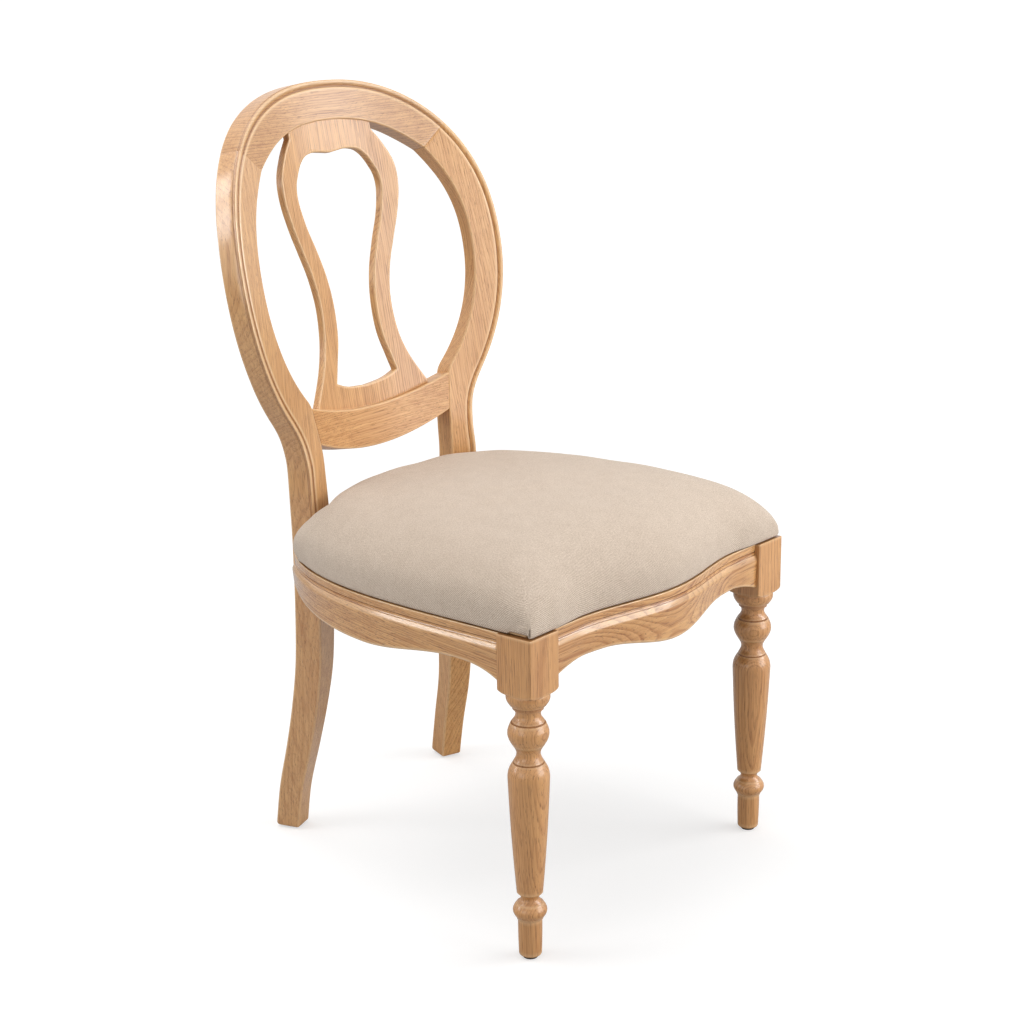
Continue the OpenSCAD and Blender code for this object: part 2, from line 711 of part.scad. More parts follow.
// A closed cap through rings, closed by a point at both ends
module cap_loft(rings, first, last_point) {
    n = len(rings[0]);
    m = len(rings);
    points = [first, for (ring = rings) each ring, last_point];
    walls = [
        for (k = [0:m - 2], i = [0:n - 1])
            let (a = 1 + k * n + i, b = 1 + k * n + (i + 1) % n)
            each [[a, b, b + n], [a, b + n, a + n]]
    ];
    fan_a = [for (i = [0:n - 1]) [0, 1 + (i + 1) % n, 1 + i]];
    fan_b = [
        for (i = [0:n - 1])
            [1 + m * n, 1 + (m - 1) * n + i, 1 + (m - 1) * n + (i + 1) % n]
    ];
    polyhedron(points, [each fan_a, each walls, each fan_b]);
}

board_low = cover_low + cover_gap;
board_high = board_low + board_thickness;
module board_outline(inset) {
    polygon([for (p = pad_ring(inset, 0)) [p[0], p[1]]]);
}

// Turned profile: each stretch holds bottom z, bottom radius, top z, top radius and bulge
turning = [
    [glide_height, foot_radius - 2.6, glide_height + 3, foot_radius, 0.6],
    [glide_height + 3, foot_radius, 52, foot_radius + 0.8, 0.3],
    [52, foot_radius + 2, 54, foot_radius + 2.4, 0],
    [54, foot_radius + 2.4, 73, foot_radius + 2.4, ankle_radius - foot_radius - 2.4],
    [73, foot_radius + 2, 87, foot_radius + 2, -5],
    [87, foot_radius + 2, 238, shaft_radius, 1],
    [238, shaft_radius, 256, 19.2, 1.6],
    [256, 18.2, 258, 18.2, 0],
    [258, 18.2, 279, 19.2, -4.3],
    [279, 19.2, 307, 21, bulb_radius - 20.1],
    [307, 19.6, 309, 19.6, 0],
    [309, 19.6, 325, 16.6, -3.2],
    [325, 17.6, 330, 17.8, 0],
    [330, 20.2, 345.5, half_block - 0.4, 1.2]
];
turning_steps = 8;
turned_outline = [
    [0, glide_height],
    for (s = turning)
        for (k = [0:s[4] == 0 ? 1 : turning_steps])
            let (t = k / (s[4] == 0 ? 1 : turning_steps))
            [mix(s[1], s[3], t) + s[4] * sin(180 * t), mix(s[0], s[2], t)],
    [0, 345.5]
];
pommel_low = 345.4;
pommel_rise = 7;
pommel_outline = [
    [0, pommel_low],
    for (k = [0:6])
        let (a = 15 * k)
        [half_block - 0.4 + (half_block * (sqrt(2) - 1) + 1) * sin(a), pommel_low + pommel_rise * (1 - cos(a))],
    [half_block * sqrt(2) + 1, seat_frame_height + 2],
    [0, seat_frame_height + 2]
];
arris = 1.2;
module front_leg_body() {
    translate([leg_x, 0, 0])
        rotate_extrude($fn = 64)
            polygon(turned_outline);
    difference() {
        intersection() {
            translate([leg_x, 0, 0])
                rotate_extrude($fn = 64)
                    polygon(pommel_outline);
            translate([leg_x, 0, 300])
                linear_extrude(seat_frame_height - 300 + 2)
                    polygon([
                        for (a = [0:90:270], s = [-1, 1])
                            let (u = half_block, v = s * (half_block - arris))
                            [u * cos(a) - v * sin(a), u * sin(a) + v * cos(a)]
                    ]);
        }
        on_seat()
            translate([leg_x - block_size, -block_size, 0])
                cube([2 * block_size, 2 * block_size, 20]);
    }
}

// Footprint and origin
front_most = front_face_y - front_swell - 1;
crest_top = crest_frames[crest_steps];
rear_most = max([for (p = frame_ring(crest_top, crest_back_dir(crest_steps))) p.y]);
origin_y = (front_most + rear_most) / 2;
module placed() {
    translate([0, -origin_y, 0]) children();
}

// Pieces
module back_post() {
    placed()
        difference() {
            post_body();
            crest_dowel_pair(2 * fit_clearance);
            lower_dowel_pair(2 * fit_clearance);
            side_post_dowels(2 * fit_clearance);
            rear_rail_dowels(2 * fit_clearance);
            glide_pin(rear_glide, 2 * fit_clearance);
        }
}
module back_post_right() {
    color(OAK) back_post();
}
module back_post_left() {
    color(OAK) mirror([1, 0, 0]) back_post();
}
module crest_rail() {
    color(OAK)
        placed()
            difference() {
                loft([
                    for (k = [0:len(crest_frames) - 1])
                        frame_ring_turned(k)
                ]);
                right_and_left() crest_dowel_pair(2 * fit_clearance);
                crest_slot();
            }
}
function frame_ring_turned(k) = frame_ring(crest_frames[k], crest_back_dir(k));
module lower_back_rail() {
    color(OAK)
        placed()
            difference() {
                lower_body();
                right_and_left() lower_dowel_pair(2 * fit_clearance);
                lower_slot();
            }
}
module splat() {
    color(OAK) placed() splat_body();
}
module front_leg() {
    placed()
        difference() {
            front_leg_body();
            front_rail_dowels(2 * fit_clearance);
            side_rail_dowels(2 * fit_clearance);
            glide_pin(front_glide, 2 * fit_clearance);
        }
}
module front_leg_right() {
    color(OAK_DARK) front_leg();
}
module front_leg_left() {
    color(OAK_DARK) mirror([1, 0, 0]) front_leg();
}
module front_rail() {
    color(OAK)
        placed()
            difference() {
                front_rail_body();
                right_and_left() {
                    front_rail_dowels(2 * fit_clearance);
                    wood_screw(front_block_screws[0][0], front_block_screws[0][1], 0.2);
                }
            }
}
module side_rail() {
    placed()
        difference() {
            side_rail_body();
            side_rail_dowels(2 * fit_clearance);
            side_post_dowels(2 * fit_clearance);
            wood_screw(front_block_screws[1][0], front_block_screws[1][1], 0.2);
            wood_screw(rear_block_screws[1][0], rear_block_screws[1][1], 0.2);
        }
}
module side_rail_right() {
    color(OAK) side_rail();
}
module side_rail_left() {
    color(OAK) mirror([1, 0, 0]) side_rail();
}
module rear_seat_rail() {
    back_y = rear_face_y + rear_rail_thickness;
    color(OAK)
        placed()
            difference() {
                translate([0, 0, seat_plane(back_y) - rear_rail_depth])
                    linear_extrude(rear_rail_depth)
                        polygon([
                            [-rear_end_x(rear_face_y), rear_face_y], [rear_end_x(rear_face_y), rear_face_y],
                            [rear_end_x(back_y), back_y], [-rear_end_x(back_y), back_y]
                        ]);
                right_and_left() {
                    rear_rail_dowels(2 * fit_clearance);
                    wood_screw(rear_block_screws[0][0], rear_block_screws[0][1], 0.2);
                }
            }
}
module corner_block(outline, top, screws, seat_screw_at) {
    color(BEECH)
        placed()
            difference() {
                translate([0, 0, top - block_thickness])
                    linear_extrude(block_thickness)
                        polygon(outline);
                screw_wells(screws);
                seat_screw_bore(seat_screw_at, top);
            }
}
module corner_block_front_right() {
    corner_block(front_block_outline, front_block_top, front_block_screws, seat_screw_front);
}
module corner_block_front_left() {
    mirror([1, 0, 0]) corner_block_front_right();
}
module corner_block_rear_right() {
    corner_block(rear_block_outline, rear_block_top, rear_block_screws, seat_screw_rear);
}
module corner_block_rear_left() {
    mirror([1, 0, 0]) corner_block_rear_right();
}
module seat_board() {
    color(PLY)
        placed()
            difference() {
                on_seat()
                    translate([0, 0, board_low])
                        linear_extrude(board_thickness)
                            board_outline(cover_gap + 3);
                right_and_left() {
                    seat_screw(seat_screw_front, front_block_top, 0.2);
                    seat_screw(seat_screw_rear, rear_block_top, 0.2);
                }
            }
}
module seat_foam() {
    color(FOAM)
        placed()
            on_seat()
                cap_loft([
                    pad_ring(cover_gap + 3, board_high),
                    for (u = inner_steps) pad_contour(u, cover_gap)
                ],
                [pad_centre.x, pad_centre.y, board_high],
                [pad_centre.x, pad_centre.y, crown_height - cover_gap]);
}
module seat_cover() {
    inner = cover_gap - 0.05;
    color(CLOTH)
        placed()
            on_seat()
                cap_loft([
                    for (k = [len(inner_steps) - 1:-1:0]) pad_contour(inner_steps[k], inner),
                    pad_ring(cover_gap + 2.95, board_high + 0.05),
                    pad_ring(cover_gap + 2.95, board_low - 0.05),
                    pad_ring(hem, board_low - 0.05),
                    pad_ring(hem, cover_low),
                    pad_ring(2, cover_low),
                    for (u = outer_steps) pad_contour(u, 0)
                ],
                [pad_centre.x, pad_centre.y, crown_height - inner],
                [pad_centre.x, pad_centre.y, crown_height]);
}
module dust_cover() {
    color(CAMBRIC)
        placed()
            on_seat()
                linear_extrude(dust_thickness)
                    difference() {
                        board_outline(dust_inset);
                        right_and_left()
                            for (p = [seat_screw_front, seat_screw_rear])
                                translate([p[0], p[1]])
                                    circle(d = screw_shank + 3, $fn = 24);
                    }
}
module crest_dowels() {
    color(BEECH) placed() right_and_left() crest_dowel_pair();
}
module lower_rail_dowels() {
    color(BEECH) placed() right_and_left() lower_dowel_pair();
}
module front_joint_dowels() {
    color(BEECH)
        placed()
            right_and_left() {
                front_rail_dowels();
                side_rail_dowels();
            }
}
module rear_joint_dowels() {
    color(BEECH)
        placed()
            right_and_left() {
                side_post_dowels();
                rear_rail_dowels();
            }
}
module corner_block_screws() {
    color(STEEL)
        placed()
            right_and_left() {
                block_screws(front_block_screws);
                block_screws(rear_block_screws);
            }
}
module seat_screws() {
    color(STEEL)
        placed()
            right_and_left() {
                seat_screw(seat_screw_front, front_block_top);
                seat_screw(seat_screw_rear, rear_block_top);
            }
}
foot_mid = mid_of(post_frames[0]) + level_back(0) * post_knots[0][5] / 2;
front_glide = [leg_x, 0];
rear_glide = [foot_mid.x, foot_mid.y];
glide_radius = 9;
pin_length = 14;
module glide_pin(at, extra = 0) {
    translate([at[0], at[1], glide_height - 0.5])
        cylinder(h = pin_length + extra, d = 3 + extra, $fn = 24);
}
module glide(at) {
    translate([at[0], at[1], 0])
        cylinder(h = glide_height, r = glide_radius, $fn = 40);
    glide_pin(at);
}
module foot_glides() {
    color(GLIDE)
        placed()
            right_and_left() {
                glide(front_glide);
                glide(rear_glide);
            }
}

back_post_left();
back_post_right();
crest_rail();
lower_back_rail();
splat();
front_leg_left();
front_leg_right();
front_rail();
side_rail_left();
side_rail_right();
rear_seat_rail();
corner_block_front_left();
corner_block_front_right();
corner_block_rear_left();
corner_block_rear_right();
seat_board();
seat_foam();
seat_cover();
dust_cover();
crest_dowels();
lower_rail_dowels();
front_joint_dowels();
rear_joint_dowels();
corner_block_screws();
seat_screws();
foot_glides();
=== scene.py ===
"""Balloon-back oak dining chair: smooth wooden pieces, seat cushion, materials, light and camera.

Lengths are millimetres in the construction frame of the part (front towards -Y, y = 0 on the
axis of the front legs); to_scene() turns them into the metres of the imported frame.
"""
import json
from math import atan, cos, pi, radians, sin, sqrt, tan

import bpy
import numpy as np
from mathutils import Matrix, Vector

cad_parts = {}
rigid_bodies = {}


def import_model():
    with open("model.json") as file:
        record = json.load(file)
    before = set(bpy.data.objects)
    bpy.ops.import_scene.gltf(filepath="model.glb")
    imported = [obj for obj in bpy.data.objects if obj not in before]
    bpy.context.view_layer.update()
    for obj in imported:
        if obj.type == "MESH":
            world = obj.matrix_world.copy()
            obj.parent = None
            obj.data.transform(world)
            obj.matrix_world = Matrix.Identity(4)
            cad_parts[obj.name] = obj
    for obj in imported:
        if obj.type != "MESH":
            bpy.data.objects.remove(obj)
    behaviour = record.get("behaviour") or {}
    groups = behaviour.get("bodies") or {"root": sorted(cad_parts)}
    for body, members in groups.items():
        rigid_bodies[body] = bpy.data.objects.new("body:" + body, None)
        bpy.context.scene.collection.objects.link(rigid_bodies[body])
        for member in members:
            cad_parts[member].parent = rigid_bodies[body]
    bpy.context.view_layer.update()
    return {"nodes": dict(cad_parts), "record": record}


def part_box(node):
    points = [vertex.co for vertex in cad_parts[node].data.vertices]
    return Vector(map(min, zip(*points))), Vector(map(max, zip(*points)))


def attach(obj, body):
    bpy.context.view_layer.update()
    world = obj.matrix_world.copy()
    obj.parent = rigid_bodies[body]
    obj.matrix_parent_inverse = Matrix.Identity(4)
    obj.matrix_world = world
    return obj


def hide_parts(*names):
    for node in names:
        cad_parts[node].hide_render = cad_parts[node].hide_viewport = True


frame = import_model()

MM = 0.001


def box_mm(node):
    low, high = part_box(node)
    return np.array(low) / MM, np.array(high) / MM


# --- Sizes shared with the part -------------------------------------------------------------
leg_low, leg_high = box_mm("front_leg_right")
LEG_X = (leg_low[0] + leg_high[0]) / 2
HALF_BLOCK = (leg_high[0] - leg_low[0]) / 2
ORIGIN_Y = -(leg_low[1] + leg_high[1]) / 2
SEAT_FRAME_HEIGHT = 420.0
SEAT_SLOPE = tan(radians(1.7))
GLIDE_HEIGHT = 3.0
BLOCK_INNER_X = LEG_X - HALF_BLOCK

CREST_HEIGHT = 1003.0
CREST_WIDTH = 51.5
OVAL_MID_HEIGHT = 775.0
OVAL_HALF_WIDTH = 243.0
BACK_LEAN = radians(11.1)
LEAN = tan(BACK_LEAN)
DISH_RADIUS = 485.0
FACE_Y, FACE_Z = 446.6, 480.0
CANT_RATE = 0.00151
FRAME_THICKNESS = 30.0
# Exponent of the oval above its middle, where 2 would be an ellipse
SQUARE = 2.3
SHOULDER_LOW = OVAL_MID_HEIGHT - 242


def seat_plane(y):
    return SEAT_FRAME_HEIGHT - SEAT_SLOPE * (y + HALF_BLOCK)


def mix(a, b, t):
    return a + (b - a) * t


def clip(a):
    return np.clip(a, 0, 1)


def smooth(t):
    return t * t * (3 - 2 * t)


def unit(v):
    v = np.asarray(v, float)
    return v / np.linalg.norm(v, axis=-1, keepdims=True)


def bezier(p, t):
    p, t = np.asarray(p, float), np.asarray(t, float)[..., None]
    return ((1 - t) ** 3 * p[0] + 3 * (1 - t) ** 2 * t * p[1]
            + 3 * (1 - t) * t * t * p[2] + t ** 3 * p[3])


def spline(knots, s):
    """Uniform Catmull-Rom curve through the knots; s runs from 0 to the number of spans."""
    k = np.asarray(knots, float)
    s = np.asarray(s, float)
    i = np.minimum(np.floor(s).astype(int), len(k) - 2)
    t = (s - i)[..., None]
    a, b = k[np.maximum(i - 1, 0)], k[i]
    c, d = k[i + 1], k[np.minimum(i + 2, len(k) - 1)]
    return 0.5 * (2 * b + (c - a) * t + (2 * a - 5 * b + 4 * c - d) * t * t
                  + (3 * b - a - 3 * c + d) * t ** 3)


def way_along(points):
    """Length of the path from its first point to each of them."""
    steps = np.linalg.norm(np.diff(points, axis=0), axis=-1)
    return np.concatenate([np.zeros((1, *steps.shape[1:])), np.cumsum(steps, axis=0)])


def both_halves(half):
    """Closed outline from its right half, which starts and ends on the middle line."""
    return np.vstack([half, half[-2:0:-1] * [-1, 1]])


def level(plan, height):
    """Points of a plan with one height for all, or one for each."""
    return np.column_stack([plan, np.broadcast_to(height, len(plan))])


def picked(plan, at, want):
    """Points of a flat path at the wanted lengths, with at the length of each point."""
    return np.stack([np.interp(want, at, plan[:, k]) for k in (0, 1)], 1)


def even(rows, step, path=None, closed=False, calm=0):
    """Rows of a smooth curve, spaced evenly along their path (the first columns by default)."""
    rows = np.asarray(rows, float)
    if closed:
        rows = np.vstack([rows, rows[:1]])
    line = rows[:, :3] if path is None else path(rows)
    h = np.linalg.norm(np.diff(line, axis=0), axis=1)
    keep = np.concatenate([[True], h > 1e-6])
    rows, h = rows[keep], h[h > 1e-6]
    at = np.concatenate([[0], np.cumsum(h)])
    slope = np.diff(rows, axis=0) / h[:, None]
    tangent = np.empty_like(rows)
    tangent[1:-1] = ((slope[1:] * h[:-1, None] + slope[:-1] * h[1:, None])
                     / (h[1:] + h[:-1])[:, None])
    tangent[0], tangent[-1] = slope[0], slope[-1]
    if closed:
        ends = (slope[0] * h[-1] + slope[-1] * h[0]) / (h[0] + h[-1])
        tangent[0] = tangent[-1] = ends
    count = max(2, int(round(at[-1] / step)) + 1)
    s = np.linspace(0, at[-1], count)
    i = np.clip(np.searchsorted(at, s, side="right") - 1, 0, len(h) - 1)
    t = ((s - at[i]) / h[i])[:, None]
    hh = h[i][:, None]
    out = ((2 * t ** 3 - 3 * t ** 2 + 1) * rows[i] + (t ** 3 - 2 * t ** 2 + t) * hh * tangent[i]
           + (3 * t ** 2 - 2 * t ** 3) * rows[i + 1] + (t ** 3 - t ** 2) * hh * tangent[i + 1])
    for _ in range(calm):
        out[1:-1] = (out[:-2] + 2 * out[1:-1] + out[2:]) / 4
    return out[:-1] if closed else out


# --- Mesh helpers ---------------------------------------------------------------------------
def to_scene(points):
    p = np.array(points, float)
    p[:, 1] -= ORIGIN_Y
    return p * MM


def placed(name, data):
    """Object with that mesh, lamp or camera, linked to the scene."""
    obj = bpy.data.objects.new(name, data)
    bpy.context.scene.collection.objects.link(obj)
    return obj


def make_object(name, points, faces, marks=None, sharp=35.0):
    """Object from millimetre points; marks hold an edge weight (wear and painted highlight) and a
    painted-shade weight for each point.
    """
    mesh = bpy.data.meshes.new(name)
    mesh.from_pydata(to_scene(points).tolist(), [], faces)
    mesh.update()
    if marks is not None:
        for k, label in enumerate(("edge", "groove")):
            layer = mesh.attributes.new(label, "FLOAT", "POINT")
            layer.data.foreach_set("value", np.ascontiguousarray(marks[:, k], np.float32))
    mesh.shade_smooth()
    mesh.set_sharp_from_angle(angle=radians(sharp))
    return placed(name, mesh)


def mirrored(points, faces):
    p = np.array(points, float)
    p[:, 0] *= -1
    return p, [tuple(reversed(f)) for f in faces]


def ring_faces(count, size, around=False):
    """Quads between rings; the rings are closed, and with around the last meets the first."""
    faces = []
    for k in range(count if around else count - 1):
        a, b = k * size, ((k + 1) % count) * size
        for i in range(size):
            j = (i + 1) % size
            faces.append((a + i, a + j, b + j, b + i))
    return faces


def outward(points, faces):
    """Flip the faces when the closed solid comes out inside out."""
    p = np.asarray(points)
    volume = 0.0
    for f in faces:
        for k in range(1, len(f) - 1):
            volume += np.dot(p[f[0]], np.cross(p[f[k]], p[f[k + 1]]))
    return faces if volume > 0 else [tuple(reversed(f)) for f in faces]


def loft(rings, marks):
    """Closed solid through the rings, with the marks of one ring, of every ring, or None."""
    rings = np.asarray(rings, float)
    count, size = rings.shape[:2]
    faces = ring_faces(count, size)
    faces += [tuple(range(size - 1, -1, -1)), tuple(range((count - 1) * size, count * size))]
    points = rings.reshape(-1, 3)
    if np.ndim(marks) == 2:
        marks = np.tile(marks, (count, 1))
    return points, outward(points, faces), marks if marks is None else marks.reshape(-1, 2)


def loop_normal(loop):
    """Unit normals of a closed flat loop, pointing out of it."""
    run = np.roll(loop, -1, axis=0) - np.roll(loop, 1, axis=0)
    normal = unit(np.stack([run[:, 1], -run[:, 0]], 1))
    return -normal if np.sum(normal * (loop - loop.mean(axis=0))) < 0 else normal


# Easing of the end of a piece: how far its end face is drawn in, and over which length
FOOT_EASE, MITRE_EASE = (1.9, 2.4), (0.45, 0.5)
POST_JOINT_EASE, LEG_JOINT_EASE = (0.4, 0.5), (0.5, 0.6)


def eased(rings, inset, run):
    """The first ring is drawn in by inset, and the full section starts at run from the end."""
    first, second = rings[0], rings[1]
    centre = first.mean(axis=0)
    half = np.linalg.norm(first - centre, axis=1).mean()
    gap = np.linalg.norm(second.mean(axis=0) - centre)
    out = [centre + (first - centre) * (1 - inset / half)]
    for share in (0.35, 1.0):
        ring = mix(first, second, share * run / gap)
        shrink = inset / half * (1 - share) ** 2
        middle = ring.mean(axis=0)
        out.append(middle + (ring - middle) * (1 - shrink))
    return np.array(out + list(rings[1:]))


def eased_ends(rings, start, end):
    return eased(eased(rings, *start)[::-1], *end)[::-1]


def ride(obj, slot, *nodes):
    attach(obj, "root")
    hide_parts(*nodes)


def oak_piece(node, points, faces, marks, slot="oak_frame"):
    """A wooden piece in place of the CAD node of that name."""
    ride(make_object(node + "_oak", points, faces, marks), slot, node)


def oak_pair(stem, points, faces, marks, slot="oak_frame"):
    """The right-hand piece and its mirror image."""
    oak_piece(stem + "_right", points, faces, marks, slot)
    oak_piece(stem + "_left", *mirrored(points, faces), marks, slot)


# --- Section of the back frame: cove, bead and quirk on the outer front edge -------------------
ARRIS, LEG_ARRIS = 1.9, 2.4
ARRIS_STEPS, ARRIS_LEAD = 5, 1.2
# Offsets inwards and backwards with an edge weight (wear and painted highlight, on the bead and its
# rounded edges) and a weight of painted shade (in the cove and the quirk), from the side face to
# the front
MOULDING = [
    (0, 10, 0, 0), (0, 5.4, 0, 0), (0.1, 4.95, 0.2, 0), (0.6, 4.6, 0, 0.5), (1.0, 4.1, 0, 0.6),
    (1.1, 3.0, 0, 0.45), (1.05, 1.9, 0, 0.5), (0.8, 1.4, 0, 0.3), (0.45, 1.05, 0.2, 0),
    (0.55, 0.65, 0.6, 0), (0.95, 0.3, 0.8, 0), (1.6, 0.08, 0.8, 0), (2.6, 0, 0.8, 0),
    (3.7, 0.05, 0.6, 0), (4.8, 0.22, 0.4, 0), (5.8, 0.55, 0.2, 0), (6.6, 1.0, 0, 0),
    (7.3, 1.4, 0, 0), (7.8, 1.75, 0, 0.3), (8.15, 2.0, 0, 0.7), (8.6, 2.1, 0, 1), (9.2, 2.1, 0, 1),
    (9.6, 1.8, 0, 0.8), (9.9, 1.35, 0, 0.4), (10.1, 0.9, 0.2, 0), (10.4, 0.55, 0.7, 0),
    (10.9, 0.18, 1, 0), (11.8, 0.0, 0.9, 0), (13.2, 0, 0.4, 0), (15, 0, 0, 0),
]


def arc(cx, cy, r, start, end, steps):
    return [(cx + r * cos(radians(mix(start, end, k / steps))),
             cy - r * sin(radians(mix(start, end, k / steps)))) for k in range(steps + 1)]


def led_arc(cx, cy, r, start, end, steps=ARRIS_STEPS, lead=ARRIS_LEAD):
    """Quarter circle with one more point on the straight before it and one after it."""
    def further(point, angle, way):
        return point[0] + way * sin(radians(angle)), point[1] + way * cos(radians(angle))

    points = arc(cx, cy, r, start, end, steps)
    way = lead if start > end else -lead
    return [further(points[0], start, -way), *points, further(points[-1], end, way)]


def section_table():
    """Rows: share of width and depth, offsets plain and moulded, then edge and painted shade of
    each; the edge weight paints wear and a highlight.
    """
    rows = []
    side = [(0, v, 0) for v in (10, 7.5, 6.2, 5.4, 4.8, 4.2, 3.6, 3.0, 2.6)]
    corner = [(u, v, 0.5 * sin(pi * k / 9))
              for k, (u, v) in enumerate(arc(LEG_ARRIS, LEG_ARRIS, LEG_ARRIS, 180, 90, 9))]
    face = [(mix(LEG_ARRIS, 15, (k + 1) / 11), 0, 0) for k in range(11)]
    for (u, v, edge), (bead_u, bead_v, bead_edge, groove) in zip(side + corner + face, MOULDING):
        rows.append((0, 0, u, v, bead_u, bead_v, edge, 0, bead_edge, groove))
    for ax, ay, start in ((1, 0, 90), (1, 1, 0), (0, 1, -90)):
        turn = led_arc((1 - 2 * ax) * ARRIS, (1 - 2 * ay) * ARRIS, ARRIS, start, start - 90)
        for k, (u, v) in enumerate(turn):
            # Painted highlight and wear along the rounded arrises
            edge = 0.6 if 0 < k < len(turn) - 1 else 0
            rows.append((ax, ay, u, v, u, v, edge, 0, edge, 0))
    return np.array(rows)


SECTION = section_table()


def frame_ring(outer, inner, depth, bead, back):
    """Section of the frame between an outer and an inner point of its face."""
    width = np.linalg.norm(inner - outer)
    u = SECTION[:, 0] * width + mix(SECTION[:, 2], SECTION[:, 4], bead)
    v = SECTION[:, 1] * depth + mix(SECTION[:, 3], SECTION[:, 5], bead)
    return outer + u[:, None] * unit(inner - outer) + v[:, None] * back


def frame_rings(rows, first_back, last_back):
    """Sections along the rows, with the given directions backwards at the two end faces."""
    outer, inner, depth, bead = rows[:, :3], rows[:, 3:6], rows[:, 6], clip(rows[:, 7])
    middle = (outer + inner) / 2
    run = np.gradient(middle, axis=0)
    back = unit(np.cross(unit(inner - outer), run))
    back[back[:, 1] < 0] *= -1
    back[0], back[-1] = first_back, last_back
    return np.array([frame_ring(*row) for row in zip(outer, inner, depth, bead, back)])


def face_mid(x, z):
    return FACE_Y + LEAN * (z - FACE_Z) - x * x / (2 * DISH_RADIUS)


def frame_row(xo, zo, xi, zi, depth, bead=1.0):
    """Outer and inner point on the dished face, depth behind it, and share of the moulding."""
    xm, zm = (xo + xi) / 2, (zo + zi) / 2

    def on_face(x, z):
        return [x, face_mid(xm, zm) - CANT_RATE * xm * (x - xm) + LEAN * (z - zm), z]

    return [*on_face(xo, zo), *on_face(xi, zi), depth, bead]


# The ovals outside and inside: half width, height of the middle, reach down and up from there
INNER_HALF_WIDTH = OVAL_HALF_WIDTH - 45
INNER_MID_HEIGHT = OVAL_MID_HEIGHT - 7
INNER_HIGH = CREST_HEIGHT - CREST_WIDTH - INNER_MID_HEIGHT
OUTER_OVAL = (OVAL_HALF_WIDTH, OVAL_MID_HEIGHT, 282, CREST_HEIGHT - OVAL_MID_HEIGHT)
INNER_OVAL = (INNER_HALF_WIDTH, INNER_MID_HEIGHT, 224, INNER_HIGH)


def oval(half_width, mid, low, high, t):
    """Distance from the middle line and height at the angle t: round below, squarer above."""
    if t < 0:
        return half_width * cos(radians(t)), mid + low * sin(radians(t))
    c, s = max(0.0, cos(radians(t))), sin(radians(t))
    return half_width * c ** (2 / SQUARE), mid + high * s ** (2 / SQUARE)


# Thickness of the oval frame by height: slimmest at the sides, fuller at shoulder and crest
THICKNESS_AT = [(597, 31.4), (660, 29.9), (785, 28.9), (830, 28.6), (882, 29.7), (932, 31.5),
                (965, 33.2), (1003, 33.4)]


def oval_row(a, b):
    outer = oval(*OUTER_OVAL, a)
    depth = float(np.interp(outer[1], *zip(*THICKNESS_AT)))
    return frame_row(*outer, *oval(*INNER_OVAL, b), depth)


# Angles round the oval of the lower rail's upper end and of the mitre, outside and inside
JOINT_OUTER, JOINT_INNER = -39.0, -47.8
MITRE_OUTER, MITRE_INNER = 41.3, 43.9
CORNER_OPENING, CORNER_RUN = 2.2, 42.0
BEAD_FROM, BEAD_RUN = SEAT_FRAME_HEIGHT - 16, 12
RING_STEP = 4.0

# Each knot: height, x of the outer front edge, width, y of the middle of the face, cant, depth
SEAT_KNOT = SEAT_FRAME_HEIGHT + 5
POST_KNOTS = [
    [GLIDE_HEIGHT, 167.4, 31, 479.4, 0.34, 34],
    [60, 166.6, 32.3, 470.6, 0.375, 34],
    [120, 163, 34.2, 456, 0.385, 35.5],
    [180, 157.8, 36.4, 445, 0.36, 37.5],
    [245, 154, 38.2, 437, 0.31, 39],
    [325, 156.5, 39.6, 431.5, 0.275, 38.4],
    [375, 157.5, 40, 430.5, 0.27, 38],
    [SEAT_KNOT, 157.5, 40, 430.5, 0.27, 38],
    [mix(SEAT_KNOT, SHOULDER_LOW, 0.51), 161.5, 41, 431.5, 0.265, 35.5],
    [mix(SEAT_KNOT, SHOULDER_LOW, 0.83), 160.2, 38.8, 434.5, 0.255, 35.2],
]
# Outer x and height over SHOULDER_LOW, inner x and height, depth
SHOULDER = [
    [161.5, 0, 123.6, 0, 34.5],
    [164.4, 19, 124.5, 14, 33.5],
    [170.4, 35, 127.3, 32.3, 32.2],
    [178.4, 49, 130.2, 50.7, 31],
]


def leg_row(knot):
    z, x, width, y, cant, depth = knot
    a = atan(cant)
    outer = np.array([x, y - width / 2 * sin(a), z])
    inner = outer + width * np.array([-cos(a), sin(a), 0])
    return [*outer, *inner, depth, float(clip((z - BEAD_FROM) / BEAD_RUN))]


def middle_line(rows):
    return (rows[:, :3] + rows[:, 3:6]) / 2


def post_rows():
    rows = [leg_row(k) for k in spline(POST_KNOTS, np.linspace(0, len(POST_KNOTS) - 1, 55))]
    rows += [frame_row(xo, SHOULDER_LOW + zo, xi, SHOULDER_LOW + zi, depth)
             for xo, zo, xi, zi, depth in SHOULDER]
    for t in np.linspace(1, 0, 25):
        rows.append(oval_row(JOINT_OUTER * t, JOINT_INNER * t))
    for t in np.linspace(0, 1, 25)[1:]:
        rows.append(oval_row(MITRE_OUTER * t, MITRE_INNER * t))
    return even(rows, RING_STEP, middle_line, calm=6)


def crest_rows():
    half = [oval_row(mix(MITRE_OUTER, 90, t), mix(MITRE_INNER, 90, t))
            for t in np.linspace(0, 1, 60)]
    other = [[-r[0], r[1], r[2], -r[3], r[4], r[5], r[6], r[7]] for r in half[-2::-1]]
    return even(half + other, RING_STEP, middle_line)


def open_corner(rows):
    """Draws the inner edge outwards towards the mitre at the last row, where it has a corner."""
    line = middle_line(rows)
    left = np.linalg.norm(np.diff(line, axis=0), axis=1)[::-1].cumsum()[::-1]
    near = clip(1 - np.append(left, 0) / CORNER_RUN) ** 1.6
    rows[:, 3:6] += CORNER_OPENING * near[:, None] * unit(rows[:, :3] - rows[:, 3:6])


